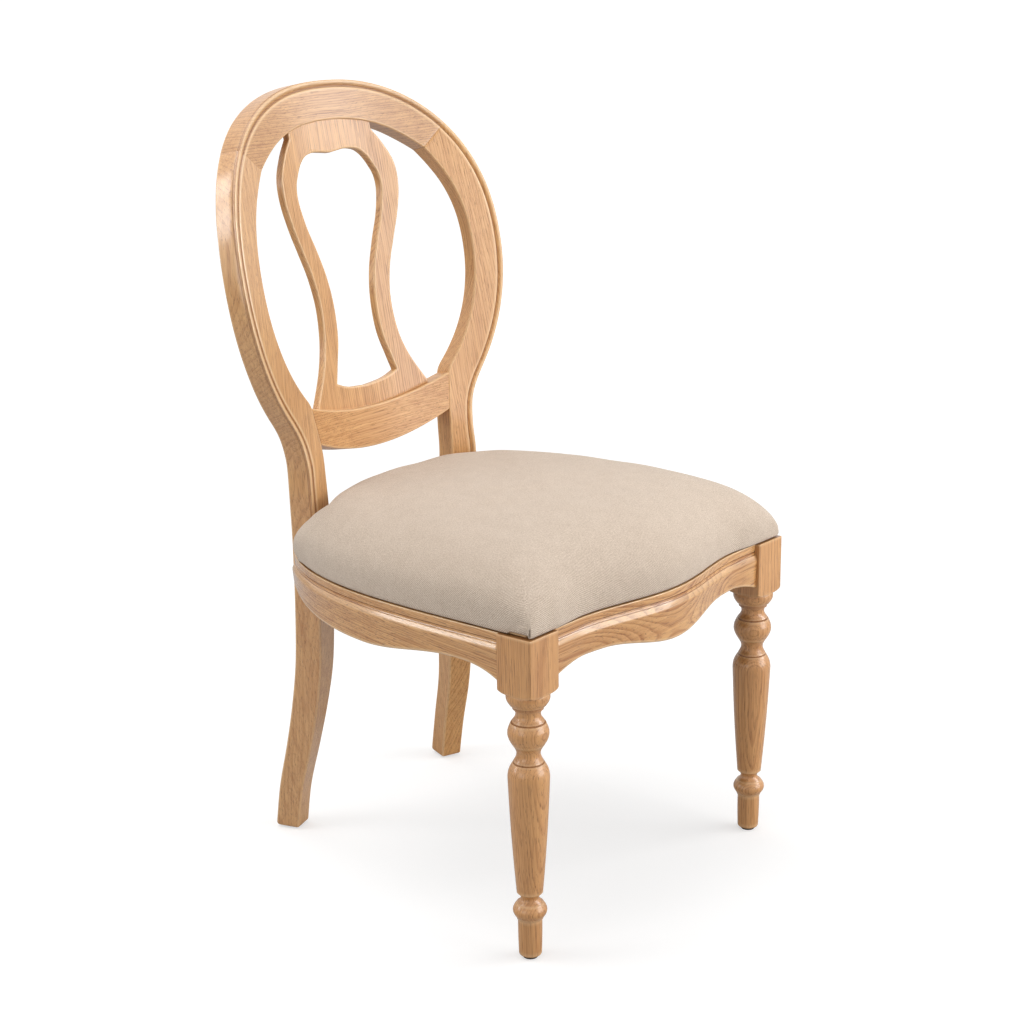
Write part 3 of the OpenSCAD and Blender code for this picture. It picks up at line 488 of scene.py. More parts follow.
def frame_marks(rows, count):
    """Edge weights (wear and painted highlight) and painted-shade weights of count rings, moulded
    where the bead runs, end rings included.
    """
    bead = clip(rows[:, 7])[:, None, None]
    marks = mix(SECTION[None, :, 6:8], SECTION[None, :, 8:10], bead)
    spare = (count - len(marks)) // 2
    return np.concatenate([marks[:1].repeat(spare, 0), marks, marks[-1:].repeat(spare, 0)])


def build_back_frame():
    posts, crest = post_rows(), crest_rows()
    open_corner(posts)
    open_corner(crest)
    open_corner(crest[::-1])
    before, after = middle_line(posts)[-2], middle_line(crest)[1]
    across = unit(posts[-1, 3:6] - posts[-1, :3])
    mitre_back = unit(np.cross(after - before, across))
    if mitre_back[1] < 0:
        mitre_back = -mitre_back
    cant = atan(POST_KNOTS[0][4])
    foot_back = np.array([sin(cant), cos(cant), 0])
    rings = frame_rings(posts, foot_back, mitre_back)
    rings[0][:, 2] = GLIDE_HEIGHT
    rings = eased_ends(rings, FOOT_EASE, MITRE_EASE)
    oak_pair("back_post", *loft(rings, frame_marks(posts, len(rings))))

    rings = frame_rings(crest, mitre_back, mitre_back * [-1, 1, 1])
    rings = eased_ends(rings, MITRE_EASE, MITRE_EASE)
    oak_piece("crest_rail", *loft(rings, frame_marks(crest, len(rings))))


build_back_frame()


# --- Lower back rail --------------------------------------------------------------------------
LOWER_TOP_MID = SHOULDER_LOW + 41
LOWER_BOTTOM_MID = SHOULDER_LOW - 12
LOWER_ARRIS = 1.7
LOWER_RINGS, SIDE_RINGS, FRONT_RINGS = 90, 120, 160
joint_low = np.array(frame_row(164.4, SHOULDER_LOW + 19, 124.5, SHOULDER_LOW + 14, 33.5))
LOWER_END_BOTTOM = joint_low[3:6]
LOWER_END_TOP = mix(LOWER_END_BOTTOM, np.array(oval_row(JOINT_OUTER, JOINT_INNER))[3:6], 0.91)


def rounded_bar(width, depth, r):
    """Rounded rectangle, width along the first axis, with an edge weight on its corners that paints
    wear and a highlight there.
    """
    points = []
    for cx, cy, start in ((width - r, r, 90), (width - r, depth - r, 0), (r, depth - r, -90),
                          (r, r, -180)):
        points += led_arc(cx, cy, r, start, start - 90)
    # Painted highlight and wear on the rounded corners
    edges = [0, *[0.7] * (ARRIS_STEPS + 1), 0] * 4
    return np.array(points), np.array([[edge, 0] for edge in edges])


def build_lower_rail():
    z_mid = (LOWER_TOP_MID + LOWER_BOTTOM_MID) / 2
    face_at = face_mid(0, z_mid)

    def edges(s):
        """Top and bottom edge of the face at a share of the half length."""
        for end, mid in ((LOWER_END_TOP, LOWER_TOP_MID), (LOWER_END_BOTTOM, LOWER_BOTTOM_MID)):
            x, z = s * end[0], mix(mid, end[2], s * s)
            rise = end[1] - face_at - LEAN * (end[2] - z_mid)
            yield np.array([x, face_at + LEAN * (z - z_mid) + rise * (x / end[0]) ** 2, z])

    rings = []
    for s in np.linspace(1, -1, LOWER_RINGS):
        top, bottom = edges(s)
        back = unit(np.cross(unit(top - bottom), sum(edges(s + 0.02)) - sum(edges(s - 0.02))))
        back = -back if back[1] < 0 else back
        profile, marks = rounded_bar(np.linalg.norm(bottom - top), FRAME_THICKNESS, LOWER_ARRIS)
        rings.append(top + profile[:, :1] * unit(bottom - top) + profile[:, 1:] * back)
    rings = eased_ends(np.array(rings), POST_JOINT_EASE, POST_JOINT_EASE)
    oak_piece("lower_back_rail", *loft(rings, marks))


build_lower_rail()


# --- Pierced splat ----------------------------------------------------------------------------
SPLAT_THICKNESS = 12.0
# Distance behind the frame's face by height: the board stands a little straighter than the oval
SET_BACK_AT = [(574, 9.3), (650, 8.4), (700, 6.8), (776, 4.2), (830, 3.0), (950, 2.4)]
SPLAT_TOP_HALF, SPLAT_FOOT_HALF = 75.5, 105.5
SPLAT_ARRIS, SPLAT_ARRIS_STEPS = 1.5, 4
SPLAT_ROOT = 3.0
SPLAT_COUNTS = (26, 170, 30)
WAIST = 0.363
# Half outlines: distance from the middle line, and height as a share of the way between the rails
SPLAT_EDGE = [
    [SPLAT_TOP_HALF, 0.954], [78, 0.946], [91, 0.901], [104.6, 0.832], [106.4, 0.752],
    [98.5, 0.66], [85.2, 0.564], [73, 0.4715], [66.2, WAIST], [69.7, 0.246], [82.2, 0.147],
    [SPLAT_FOOT_HALF, 0.042],
]
OPENING_EDGE = [
    [0, 0.8875], [14, 0.8922], [28, 0.8958], [40, 0.8935], [51, 0.884], [61, 0.8615],
    [69.5, 0.8285], [76.2, 0.789], [76.9, 0.7365], [69.6, 0.6545], [56.2, 0.563], [44.6, 0.466],
    [39, WAIST], [40.8, 0.25], [50.8, 0.1535], [57.6, 0.0945],
]
OPENING_SILL = [[45, 0.086], [29, 0.076], [0, 0.069]]


def crest_inner_z(x):
    share = np.abs(x) / INNER_HALF_WIDTH
    return INNER_MID_HEIGHT + INNER_HIGH * (1 - share ** SQUARE) ** (1 / SQUARE)


def lower_top_z(x):
    return mix(LOWER_TOP_MID, LOWER_END_TOP[2], (x / LOWER_END_TOP[0]) ** 2)


def build_splat():
    board_radius = DISH_RADIUS / cos(BACK_LEAN)
    low, high = LOWER_TOP_MID, float(crest_inner_z(0))

    def curve(knots):
        p = spline(knots, np.linspace(0, len(knots) - 1, 16 * (len(knots) - 1) + 1))
        p[:, 1] = mix(low, high, p[:, 1])
        return p

    def spread(points, count):
        at = way_along(points)
        return picked(points, at, np.linspace(0, at[-1], count))[:-1]

    def whole(*parts):
        """Closed outline from the top, side and foot of its right half."""
        half = [spread(part, count) for part, count in zip(parts, SPLAT_COUNTS)]
        return both_halves(np.vstack([*half, parts[-1][-1:]]))

    x_top = np.linspace(0, SPLAT_TOP_HALF, 30)
    x_foot = np.linspace(SPLAT_FOOT_HALF, 0, 30)
    outer_top = np.stack([x_top, crest_inner_z(x_top) + SPLAT_ROOT], 1)
    outer_foot = np.stack([x_foot, lower_top_z(x_foot) - SPLAT_ROOT], 1)
    outer_side = np.vstack([outer_top[-1:], curve(SPLAT_EDGE), outer_foot[:1]])
    opening = curve(OPENING_EDGE)
    # The top of the opening ends 52 mm from the middle line, more than 850 mm up
    shoulder_at = int(np.argmin(np.abs(opening[:, 0] - 52) + (opening[:, 1] < 850) * 99))
    outer = whole(outer_top, outer_side, outer_foot)
    hole = whole(opening[:shoulder_at + 1], opening[shoulder_at:], curve(OPENING_SILL))
    outer_in, hole_in = -loop_normal(outer), loop_normal(hole)

    def corner(loop, into):
        for k in range(SPLAT_ARRIS_STEPS + 1):
            a = pi / 2 * k / SPLAT_ARRIS_STEPS
            # The rounded arris carries painted highlight and wear (edge weight 0.7)
            yield loop + into * SPLAT_ARRIS * (1 - cos(a)), SPLAT_ARRIS * (1 - sin(a)), 0.7

    def face():
        """Outlines from the outer edge to the opening, with depth and edge weight; the edge weight
        paints wear and a highlight on the rounded arrises.
        """
        a, b = outer + outer_in * SPLAT_ARRIS, hole + hole_in * SPLAT_ARRIS
        shares = (0.06, 0.2, 0.35, 0.5, 0.65, 0.8, 0.94)
        return [*corner(outer, outer_in), *[(mix(a, b, share), 0.0, 0.0) for share in shares],
                *list(corner(hole, hole_in))[::-1]]

    shallow, deep = SPLAT_ARRIS + 1, SPLAT_THICKNESS - SPLAT_ARRIS - 1
    levels = face() + [(hole, shallow, 0.0), (hole, deep, 0.0)]
    levels += [(plan, SPLAT_THICKNESS - depth, edge) for plan, depth, edge in face()[::-1]]
    levels += [(outer, deep, 0.0), (outer, shallow, 0.0)]
    section, marks = [], []
    for plan, depth, edge in levels:
        x, z = plan[:, 0], plan[:, 1]
        zb = (z - FACE_Z - x * x * sin(BACK_LEAN) / (2 * board_radius)) / cos(BACK_LEAN)
        y = -board_radius + np.sqrt((board_radius + depth) ** 2 - x * x)
        section.append(np.stack([
            x, FACE_Y + np.interp(z, *zip(*SET_BACK_AT)) + y * cos(BACK_LEAN) + zb * sin(BACK_LEAN),
            FACE_Z - y * sin(BACK_LEAN) + zb * cos(BACK_LEAN)], 1))
        marks.append([edge, 0])
    rings = np.transpose(np.array(section), (1, 0, 2))
    count, size = rings.shape[:2]
    points = rings.reshape(-1, 3)
    faces = outward(points, ring_faces(count, size, around=True))
    oak_piece("splat", points, faces, np.tile(np.array(marks), (count, 1)))


build_splat()


# --- Seat rails -------------------------------------------------------------------------------
RAIL_BAND, BAND_SET = 9.4, 2.2
# Offsets inwards and down with an edge weight (wear and painted highlight, also along the roll) and
# a weight of painted shade (in the cove and the quirks): the band from its own face and the top,
# the cove from the band's face and its lower edge, the roll from the rail's face and that edge
BAND = [(2.2, 0, 0, 0), (0.9, 0, 0.6, 0), (0.35, 0.12, 1, 0), (0.06, 0.45, 1, 0), (0, 0.95, 0.6, 0),
        (0, 2.0, 0, 0)]
COVE = [(0, -1.4, 0, 0), (0.05, -0.7, 0.5, 0), (0.5, -0.25, 0.3, 0.4), (1.5, 0.15, 0, 1),
        (1.45, 0.6, 0, 1), (0.75, 0.95, 0, 0.5), (0.55, 1.6, 0, 0.1), (0.5, 2.5, 0, 0.1),
        (0.2, 3.4, 0, 0.2), (-0.15, 4.05, 0, 0.5), (0.45, 4.35, 0, 1), (0.3, 4.7, 0, 1)]
ROLL = [(1.75, 5.0, 0.2, 0.1), (1.4, 5.6, 0.5, 0), (0.98, 6.5, 0.4, 0), (0.52, 7.5, 0.3, 0),
        (0.07, 8.5, 0.3, 0), (-0.37, 9.5, 0.3, 0), (-0.75, 10.5, 0.4, 0), (-1.0, 11.4, 0.3, 0),
        (-1.12, 12.5, 0, 0), (-1.08, 14.2, 0, 0), (-0.75, 17.5, 0, 0), (-0.3, 22, 0, 0)]
# The other three corners: at which side and edge, radius, first angle, steps, lead, edge weight of
# wear and painted highlight
RAIL_CORNERS = [(0, 1, 3.0, 180, 6, 1.4, 0.7), (1, 1, 1.4, 270, 4, ARRIS_LEAD, 0.6),
                (1, 0, 1.0, 0, 3, ARRIS_LEAD, 0.5)]


def rail_profile():
    """Rows: share of thickness, share of depth, offset inwards, offset down, edge (wear and painted
    highlight), painted shade.
    """
    rows = []
    for part, du, dv in ((BAND, BAND_SET, 0), (COVE, BAND_SET, RAIL_BAND), (ROLL, 0, RAIL_BAND)):
        rows += [(0, 0, du + u, dv + v, edge, groove) for u, v, edge, groove in part]
    for ax, ay, r, start, steps, lead, edge in RAIL_CORNERS:
        turn = led_arc((1 - 2 * ax) * r, (1 - 2 * ay) * r, r, start, start + 90, steps, lead)
        rows += [(ax, ay, u, v, edge if 0 < k <= steps + 1 else 0, 0)
                 for k, (u, v) in enumerate(turn)]
    return np.array(rows)


RAIL = rail_profile()


def rail_ring(outer, inner, height):
    across = unit(inner - outer)
    width = np.linalg.norm(inner - outer)
    u = RAIL[:, 0] * width + RAIL[:, 2]
    v = RAIL[:, 1] * height + RAIL[:, 3]
    plan = outer + u[:, None] * across
    return np.column_stack([plan, seat_plane(plan[:, 1]) - v])


def post_corners():
    """The post's outer front and outer back corner in plan, at the height of the rails."""
    _, x, width, y, cant, depth = POST_KNOTS[6]
    a = atan(cant)
    back = np.array([sin(a), cos(a)])
    front = np.array([x, y - width / 2 * sin(a)])
    return front, front + depth * back


POST_FO, POST_BO = post_corners()
SIDE_FACE_X = LEG_X + HALF_BLOCK - 1.4
SIDE_THICKNESS = 32.0
SIDE_OUTER = [[SIDE_FACE_X, HALF_BLOCK], [SIDE_FACE_X - 5, 168], [SIDE_FACE_X + 9.5, 340], POST_BO]
SIDE_INNER = [
    [SIDE_FACE_X - SIDE_THICKNESS, HALF_BLOCK], [SIDE_FACE_X - SIDE_THICKNESS - 4.8, 165],
    [SIDE_FACE_X - SIDE_THICKNESS + 5.2, 315], POST_FO,
]
SLIM_AT, DROP_AT = 0.17, 0.51
SIDE_SLIM, SIDE_DROP, SIDE_REAR, RAIL_END = 45.0, 61.0, 38.0, 60.0


def side_depth(t):
    if t < SLIM_AT:
        return mix(SIDE_SLIM, RAIL_END, (1 - t / SLIM_AT) ** 2.5)
    if t < DROP_AT:
        return mix(SIDE_SLIM, SIDE_DROP, smooth((t - SLIM_AT) / (DROP_AT - SLIM_AT)))
    return mix(SIDE_DROP, SIDE_REAR, ((t - DROP_AT) / (1 - DROP_AT)) ** 2.2)


FRONT_THICKNESS = 27.0
FRONT_SWELL = 24.8
FRONT_FACE_Y = -HALF_BLOCK + 4.4
FRONT_DROP, FRONT_SLIM = 64.0, 48.0
SWELL_HALF, DIP_HALF, FLARE_FROM = 165.0, 120.0, 150.0


def bell(x, half):
    wave = np.cos(pi / 2 * np.clip(np.asarray(x) / half, -1, 1)) ** 2
    return np.where(np.abs(x) < half, wave, 0.0)


def front_outer_y(x):
    return FRONT_FACE_Y - FRONT_SWELL * bell(x, SWELL_HALF)


def front_inner_y(x):
    return FRONT_FACE_Y + FRONT_THICKNESS - 0.55 * FRONT_SWELL * bell(x, SWELL_HALF)


def front_depth(x):
    flare = max(0.0, (abs(x) - FLARE_FROM) / (BLOCK_INNER_X - FLARE_FROM)) ** 1.8
    dip = float(bell(x, DIP_HALF))
    return FRONT_SLIM + (FRONT_DROP - FRONT_SLIM) * dip + (RAIL_END - FRONT_SLIM) * flare


def build_rails():
    rings = [rail_ring(bezier(SIDE_OUTER, t), bezier(SIDE_INNER, t), side_depth(t))
             for t in np.linspace(0, 1, SIDE_RINGS)]
    rings = eased_ends(np.array(rings), LEG_JOINT_EASE, POST_JOINT_EASE)
    oak_pair("side_rail", *loft(rings, RAIL[:, 4:6]))

    rings = [rail_ring(np.array([x, float(front_outer_y(x))]),
                       np.array([x, float(front_inner_y(x))]), front_depth(x))
             for x in np.linspace(BLOCK_INNER_X, -BLOCK_INNER_X, FRONT_RINGS)]
    rings = eased_ends(np.array(rings), LEG_JOINT_EASE, LEG_JOINT_EASE)
    oak_piece("front_rail", *loft(rings, RAIL[:, 4:6]))


build_rails()


# --- Turned front legs ------------------------------------------------------------------------
FOOT_RADIUS, SHAFT_RADIUS, BULB_RADIUS, ANKLE_RADIUS = 14.0, 25.4, 25.0, 20.9
SHAFT_TOP, POMMEL_LOW, POMMEL_RISE = 238.0, 345.4, 7.0
POMMEL_RADIUS, POMMEL_RUN = HALF_BLOCK - 0.4, HALF_BLOCK * (sqrt(2) - 1) + 1
BLOCK_ARRIS = 1.3
# Each stretch: bottom z, bottom radius, top z, top radius, bulge, weight of painted shade in its
# groove
TURNING = [
    [GLIDE_HEIGHT, FOOT_RADIUS - 2.6, GLIDE_HEIGHT + 3, FOOT_RADIUS, 0.6, 0],
    [GLIDE_HEIGHT + 3, FOOT_RADIUS, 52, FOOT_RADIUS + 0.8, 0.3, 0],
    [52, FOOT_RADIUS + 2, 54, FOOT_RADIUS + 2.4, 0, 0.3],
    [54, FOOT_RADIUS + 2.4, 73, FOOT_RADIUS + 2.4, ANKLE_RADIUS - FOOT_RADIUS - 2.4, 0],
    [73, FOOT_RADIUS + 2, 87, FOOT_RADIUS + 2, -5, 0.3],
    [87, FOOT_RADIUS + 2, SHAFT_TOP, SHAFT_RADIUS, 1, 0],
    [SHAFT_TOP, SHAFT_RADIUS, 256, 19.2, 1.6, 0],
    [256, 18.2, 258, 18.2, 0, 1],
    [258, 18.2, 279, 19.2, -4.3, 0.3],
    [279, 19.2, 307, 21, BULB_RADIUS - 20.1, 0],
    [307, 19.6, 309, 19.6, 0, 1],
    [309, 19.6, 325, 17.2, -3.2, 0.3],
    [325, 18.8, 330, 19.0, 0, 0.7],
    [330, 22.0, POMMEL_LOW, POMMEL_RADIUS, 2.4, 0],
]


def block_outline():
    """Square with tiny rounded corners, as polar angle and radius, with a weight of painted shade
    along the corners.
    """
    inner = HALF_BLOCK - BLOCK_ARRIS
    side = np.tan(np.linspace(-1, 1, 23) * atan(inner / HALF_BLOCK)) * HALF_BLOCK
    plan = [(HALF_BLOCK, y, 0.3 * (abs(y) > inner - 0.1)) for y in side]
    plan += [(inner + BLOCK_ARRIS * cos(a), inner + BLOCK_ARRIS * sin(a), 0.3)
             for a in np.linspace(0, pi / 2, 7)[1:-1]]
    x, y, edge = np.array(plan).T
    angles = np.concatenate([np.arctan2(y, x) + quarter * pi / 2 for quarter in range(4)])
    return angles, np.tile(np.sqrt(x * x + y * y), 4), np.tile(edge, 4)


def build_front_leg():
    angle, square, corner = block_outline()
    ca, sa = np.cos(angle), np.sin(angle)
    size = len(angle)
    rings, marks = [], []

    def add(radius, z, edge, groove):
        radius, z = np.broadcast_to(radius, size), np.broadcast_to(z, size)
        rings.append(np.stack([LEG_X + radius * ca, radius * sa, z], 1))
        marks.append(np.stack([np.broadcast_to(edge, size), np.broadcast_to(groove, size)], 1))

    for low, r0, high, r1, bulge, groove in TURNING:
        steps = 1 if bulge == 0 else max(8, int((high - low) / 5))
        for t in np.linspace(0, 1, steps + 1):
            z = mix(low, high, t)
            # Painted highlight and wear on the arris at the ends of a stretch; painted shade in its
            # grooves
            wear_and_highlight = t in (0, 1) and groove < 0.5 and z != SHAFT_TOP
            deep = groove if bulge == 0 or min(t, 1 - t) < 0.15 else groove * 0.2
            add(mix(r0, r1, t) + bulge * sin(pi * t), z, 0.5 * wear_and_highlight, deep)

    def pommel_z(radius):
        share = clip((radius - POMMEL_RADIUS) / POMMEL_RUN)
        return POMMEL_LOW + POMMEL_RISE * (1 - np.sqrt(1 - share ** 2))

    # Painted shadow under the block's lower arris, where the pommel meets it
    for t in np.linspace(0.12, 1, 12):
        radius = mix(POMMEL_RADIUS, square - 0.35, t)
        add(radius, pommel_z(radius), 0.0, 0.6 * (t > 0.82))
    meet = pommel_z(square)
    # Painted highlight and wear on the block's lower arris
    add(square, meet + 0.45, 0.25, 0)
    top = seat_plane(square * sa)
    # Painted shade along the block's vertical corners
    for t in (0.04, 0.2, 0.4, 0.6, 0.8, 0.96):
        add(square, mix(meet + 0.45, top - 0.9, t), 0, corner)
    # Painted highlight and wear on the block's top arris
    add(square, top - 0.9, 0.5, 0)
    add(square - 0.25, top - 0.25, 0.6, 0)
    add(square - 0.9, top, 0.3, 0)
    # Painted shade on the block's top beyond its arris, in the gap under the cushion
    add(square - 1.6, top - 0.02, 0, 1)
    oak_pair("front_leg", *loft(rings, np.array(marks)), slot="oak_legs")


build_front_leg()


# --- Seat cushion -----------------------------------------------------------------------------
SEAT_INSET = 2.6
CROWN_HEIGHT = 104.5
PAD_FOOT = 1.7
DOME_HEIGHT = 0.21 * CROWN_HEIGHT
EDGE_HEIGHT = CROWN_HEIGHT - DOME_HEIGHT - PAD_FOOT
DOME_HALF, DOME_MID_Y = (260.0, 250.0), 205.0
PAD_CENTRE = np.array([0.0, 195.0])
PAD_BULGE = 3.0
# The pad's rise from each edge: how far in it reaches its height, and how square its shoulder is
SIDE_RISE, FRONT_RISE, REAR_RISE = (251.0, 4.5), (141.0, 2.74), (53.3, 2.8)
REAR_EDGE_MID, REAR_EDGE_HALF = 453.0, float(POST_FO[0])
REAR_EDGE_DROP = REAR_EDGE_MID - float(POST_FO[1]) + 4.6
REAR_WING = (180.0, 430.0)
REAR_SWELL, REAR_SWELL_AT, REAR_SWELL_REACH = 6.0, (196, 418), 24.0
SIDE_LINE = bezier(SIDE_OUTER, np.linspace(0, 1, 200)) - [SEAT_INSET, 0]


def pad_front(x):
    x = np.abs(x)
    return front_outer_y(x) + mix(SEAT_INSET, -1.8, smooth(clip((x - 150) / 60)))


def rear_edge(x):
    share = np.minimum(np.abs(x), REAR_EDGE_HALF) / REAR_EDGE_HALF
    return REAR_EDGE_MID - REAR_EDGE_DROP * share ** 2.6


def rise(distance, by):
    return (1 - (1 - clip(distance / by[0])) ** by[1]) ** (1 / by[1])


def pad_height(x, y):
    past = clip((np.abs(x) - REAR_EDGE_HALF) / (REAR_WING[0] - REAR_EDGE_HALF))
    from_side = np.interp(y, SIDE_LINE[:, 1], SIDE_LINE[:, 0]) - np.abs(x)
    from_rear = mix(rear_edge(x), REAR_WING[1], past) - y
    e = rise(from_side, SIDE_RISE) * rise(y - pad_front(x), FRONT_RISE) * rise(from_rear, REAR_RISE)
    dome = (1 - (x / DOME_HALF[0]) ** 2) * (1 - ((y - DOME_MID_Y) / DOME_HALF[1]) ** 2)
    return PAD_FOOT + (EDGE_HEIGHT + DOME_HEIGHT * np.maximum(0, dome)) * e


PAD_STEP, CORNER_STEP, OUTLINE_STEP = 3.6, 0.7, 0.5
CORNER_X = LEG_X + HALF_BLOCK
FRONT_CORNER = np.array([CORNER_X - 3.4, -HALF_BLOCK + 3.2])
FRONT_CORNER_PLAN = [[CORNER_X - 8, -HALF_BLOCK + 2.5], FRONT_CORNER.tolist(),
                     [CORNER_X - 3.4, -HALF_BLOCK + 8]]
REAR_CORNER_PLAN = [[194, 425.5], [188.5, 429.5], [*REAR_WING], [168, 424.5]]


def corner_gap(plan):
    """Distance from the nearer front corner."""
    return np.hypot(np.abs(plan[:, 0]) - FRONT_CORNER[0], plan[:, 1] - FRONT_CORNER[1])


def pad_outline():
    """Plan of the cushion from the middle of the front round to itself, finest at the corners."""
    side = SIDE_LINE[(SIDE_LINE[:, 1] > -HALF_BLOCK + 13) & (SIDE_LINE[:, 1] < 418)]
    half = np.array([[x, float(pad_front(x))] for x in np.linspace(0, 240, 40)] + FRONT_CORNER_PLAN
                    + side.tolist() + REAR_CORNER_PLAN
                    + [[x, float(rear_edge(x))] for x in np.linspace(REAR_EDGE_HALF, 0, 30)])
    fine = even(level(both_halves(half), 0.0), OUTLINE_STEP, closed=True, calm=3)[:, :2]
    step = mix(CORNER_STEP, PAD_STEP, smooth(clip((corner_gap(fine) - 22) / 16)))
    gaps = np.linalg.norm(np.roll(fine, -1, axis=0) - fine, axis=1) / step
    at = np.concatenate([[0], np.cumsum(gaps)])
    want = np.linspace(0, at[-1], int(round(at[-1])) + 1)[:-1]
    return picked(np.vstack([fine, fine[:1]]), at, want)


def on_seat(rows):
    """From pad coordinates, with height square to the seat frame, to the construction frame."""
    p = np.array(rows, float)
    a = atan(SEAT_SLOPE)
    y, z = p[..., 1] + HALF_BLOCK, p[..., 2]
    p[..., 1], p[..., 2] = (y * cos(a) + z * sin(a) - HALF_BLOCK,
                            SEAT_FRAME_HEIGHT - y * sin(a) + z * cos(a))
    return p


CLOTH, CLOTH_GAP, CLOTH_FOOT = 1.2, 0.5, 5.5
BOARD_LOW = CLOTH + CLOTH_GAP
BOARD_HIGH = BOARD_LOW + 12.0
BOARD_INSET = CLOTH + 3.0
HEM = 18.0
# The cloth's underside from the board outwards: inset from the outline, and height
TURN_UNDER = [(BOARD_INSET, BOARD_HIGH), (BOARD_INSET, BOARD_LOW), (HEM, BOARD_LOW),
              (HEM, CLOTH_GAP), (7, CLOTH_GAP), (4, CLOTH_GAP + 0.15), (2.2, CLOTH_GAP + 0.8),
              (1.0, CLOTH_GAP + 2.0), (0.3, CLOTH_GAP + 3.4)]
FINE_ROWS, FINE_STEP, COARSE_ROWS = 20, 1.2, 62
WAY_SAMPLES = 700
# The pleat at each front corner: length along the side, height, lift and depth of its slit
PLEAT_LONG, PLEAT_HIGH, PLEAT_LIFT, SLIT_DEEP = 19.0, 17.0, 1.3, 3.4
# The open slot under the pleat: height, and length along the side
SLOT_HIGH, SLOT_LONG = 3.3, 36.0


def sway(x, y):
    """Slight unevenness of the hand-pulled cover."""
    return (0.55 * np.sin(x / 31 + 0.7) * np.sin(y / 27 + 1.1) + 0.4 * np.sin(x / 17 - y / 23 + 2.0)
            + 0.3 * np.sin(x / 11 + y / 14 + 0.3) * np.sin(y / 37))


def corner_distance(outline):
    """Signed way along the outline from the nearer front corner, positive towards the back."""
    near = corner_gap(outline)
    return np.where(outline[:, 1] > FRONT_CORNER[1] + 0.2, near, -near)


def cloth_way(outline, normal):
    """Way the cloth is pulled over the edge, eased round the rear corners, which have no pleat."""
    way = normal.copy()
    for _ in range(160):
        way = unit(2 * way + np.roll(way, 1, axis=0) + np.roll(way, -1, axis=0))
    rear = smooth(clip((outline[:, 1] - 330) / 50))[:, None]
    return unit(mix(normal, way, rear))


def cushion_levels(outline):
    """Rows of the pad's surface from foot to crown, with weave places and weights of painted shade
    in the pleat's slit.
    """
    out = unit(outline - PAD_CENTRE)
    normal = loop_normal(outline)
    size = len(outline)
    w = np.linspace(0, 1, WAY_SAMPLES)[:, None]
    rear = [np.abs(outline[:, 0]) - REAR_SWELL_AT[0], outline[:, 1] - REAR_SWELL_AT[1]]
    rear = np.exp(-(rear[0] ** 2 + rear[1] ** 2) / (2 * REAR_SWELL_REACH ** 2))

    def surface(u):
        share = (1 - u ** 4)[..., None]
        plan = PAD_CENTRE + share * (outline - PAD_CENTRE)
        h = pad_height(plan[..., 0], plan[..., 1])
        h = h + sway(plan[..., 0], plan[..., 1]) * smooth(clip((h - 12) / 45))
        m = clip(h / (0.75 * EDGE_HEIGHT))
        push = (PAD_BULGE + REAR_SWELL * rear) * 4 * m * (1 - m) * share[..., 0] ** 6
        return plan + out * push[..., None], h

    first = np.argmax(surface(np.broadcast_to(w, (WAY_SAMPLES, size)))[1] > CLOTH_FOOT, axis=0)
    start = w[np.maximum(first - 1, 0), 0]
    plan, h = surface(start + (1 - start) * w ** 1.25)
    h = np.maximum(h, CLOTH_FOOT - 0.5)
    places = np.concatenate([plan, h[..., None]], axis=2)
    way = way_along(places)
    total = way[-1]
    foot = np.arange(FINE_ROWS) * FINE_STEP
    wants = [np.full(size, near) for near in foot]
    wants += [mix(foot[-1], total, share)
              for share in np.linspace(0, 1, COARSE_ROWS + 1)[1:] ** 1.15 * 0.985]
    rows = np.array([np.stack([[np.interp(want[j], way[:, j], places[:, j, c]) for j in range(size)]
                               for c in range(3)], 1) for want in wants])

    t = corner_distance(outline)
    h = rows[..., 2]
    high = smooth(clip((PLEAT_HIGH - h) / 5))
    flap = smooth(clip((PLEAT_LONG - t) / 4)) * smooth(clip((t - 0.8) / 0.9)) * high
    slit = np.exp(-((t + 0.2) / 0.9) ** 2) * smooth(clip((PLEAT_HIGH - 3 - h) / 3))
    rows[..., :2] += (PLEAT_LIFT * flap - SLIT_DEEP * slit)[..., None] * normal
    pulled = total - np.array(wants) - np.linalg.norm(rows[..., :2] - PAD_CENTRE, axis=2)
    return rows, rows[..., :2] + cloth_way(outline, normal) * pulled[..., None], clip(slit * 1.1)


def build_cushion():
    outline = pad_outline()
    out = unit(outline - PAD_CENTRE)
    levels, flat, slit = cushion_levels(outline)
    t = corner_distance(outline)
    slot = SLOT_HIGH * smooth(clip((t - 0.6) / 3)) * smooth(clip((SLOT_LONG - t) / 8))
    under = [level(PAD_CENTRE + share * (outline - PAD_CENTRE), BOARD_HIGH)
             for share in (0.02, 0.6)]
    under += [level(outline - out * inset, h + slot * clip(1 - (inset - 7) / 6))
              for inset, h in TURN_UNDER]
    levels[..., 2] += slot * clip(1 - (levels[..., 2] - CLOTH_FOOT) / 14)
    rows = np.concatenate([np.array(under), levels])
    turned = np.array([flat[0] + (flat[0] - flat[1]) * (len(under) - k) for k in range(len(under))])
    weave = np.concatenate([turned, flat]).reshape(-1, 2)
    marks = np.zeros((len(rows), len(outline), 2))
    # Painted shade in the pleat's slit, and painted shadow on the cloth's underside and hem
    marks[len(under):, :, 1] = slit
    marks[:len(under) - 2, :, 1] = 1.0
    obj = make_object("seat_cushion", *loft(on_seat(rows), marks), sharp=60)
    layer = obj.data.attributes.new("weave", "FLOAT_VECTOR", "POINT")
    layer.data.foreach_set("vector", np.ascontiguousarray(level(weave, 0.0).ravel(), np.float32))
    ride(obj, "seat_cloth", "seat_cover", "seat_foam")


build_cushion()


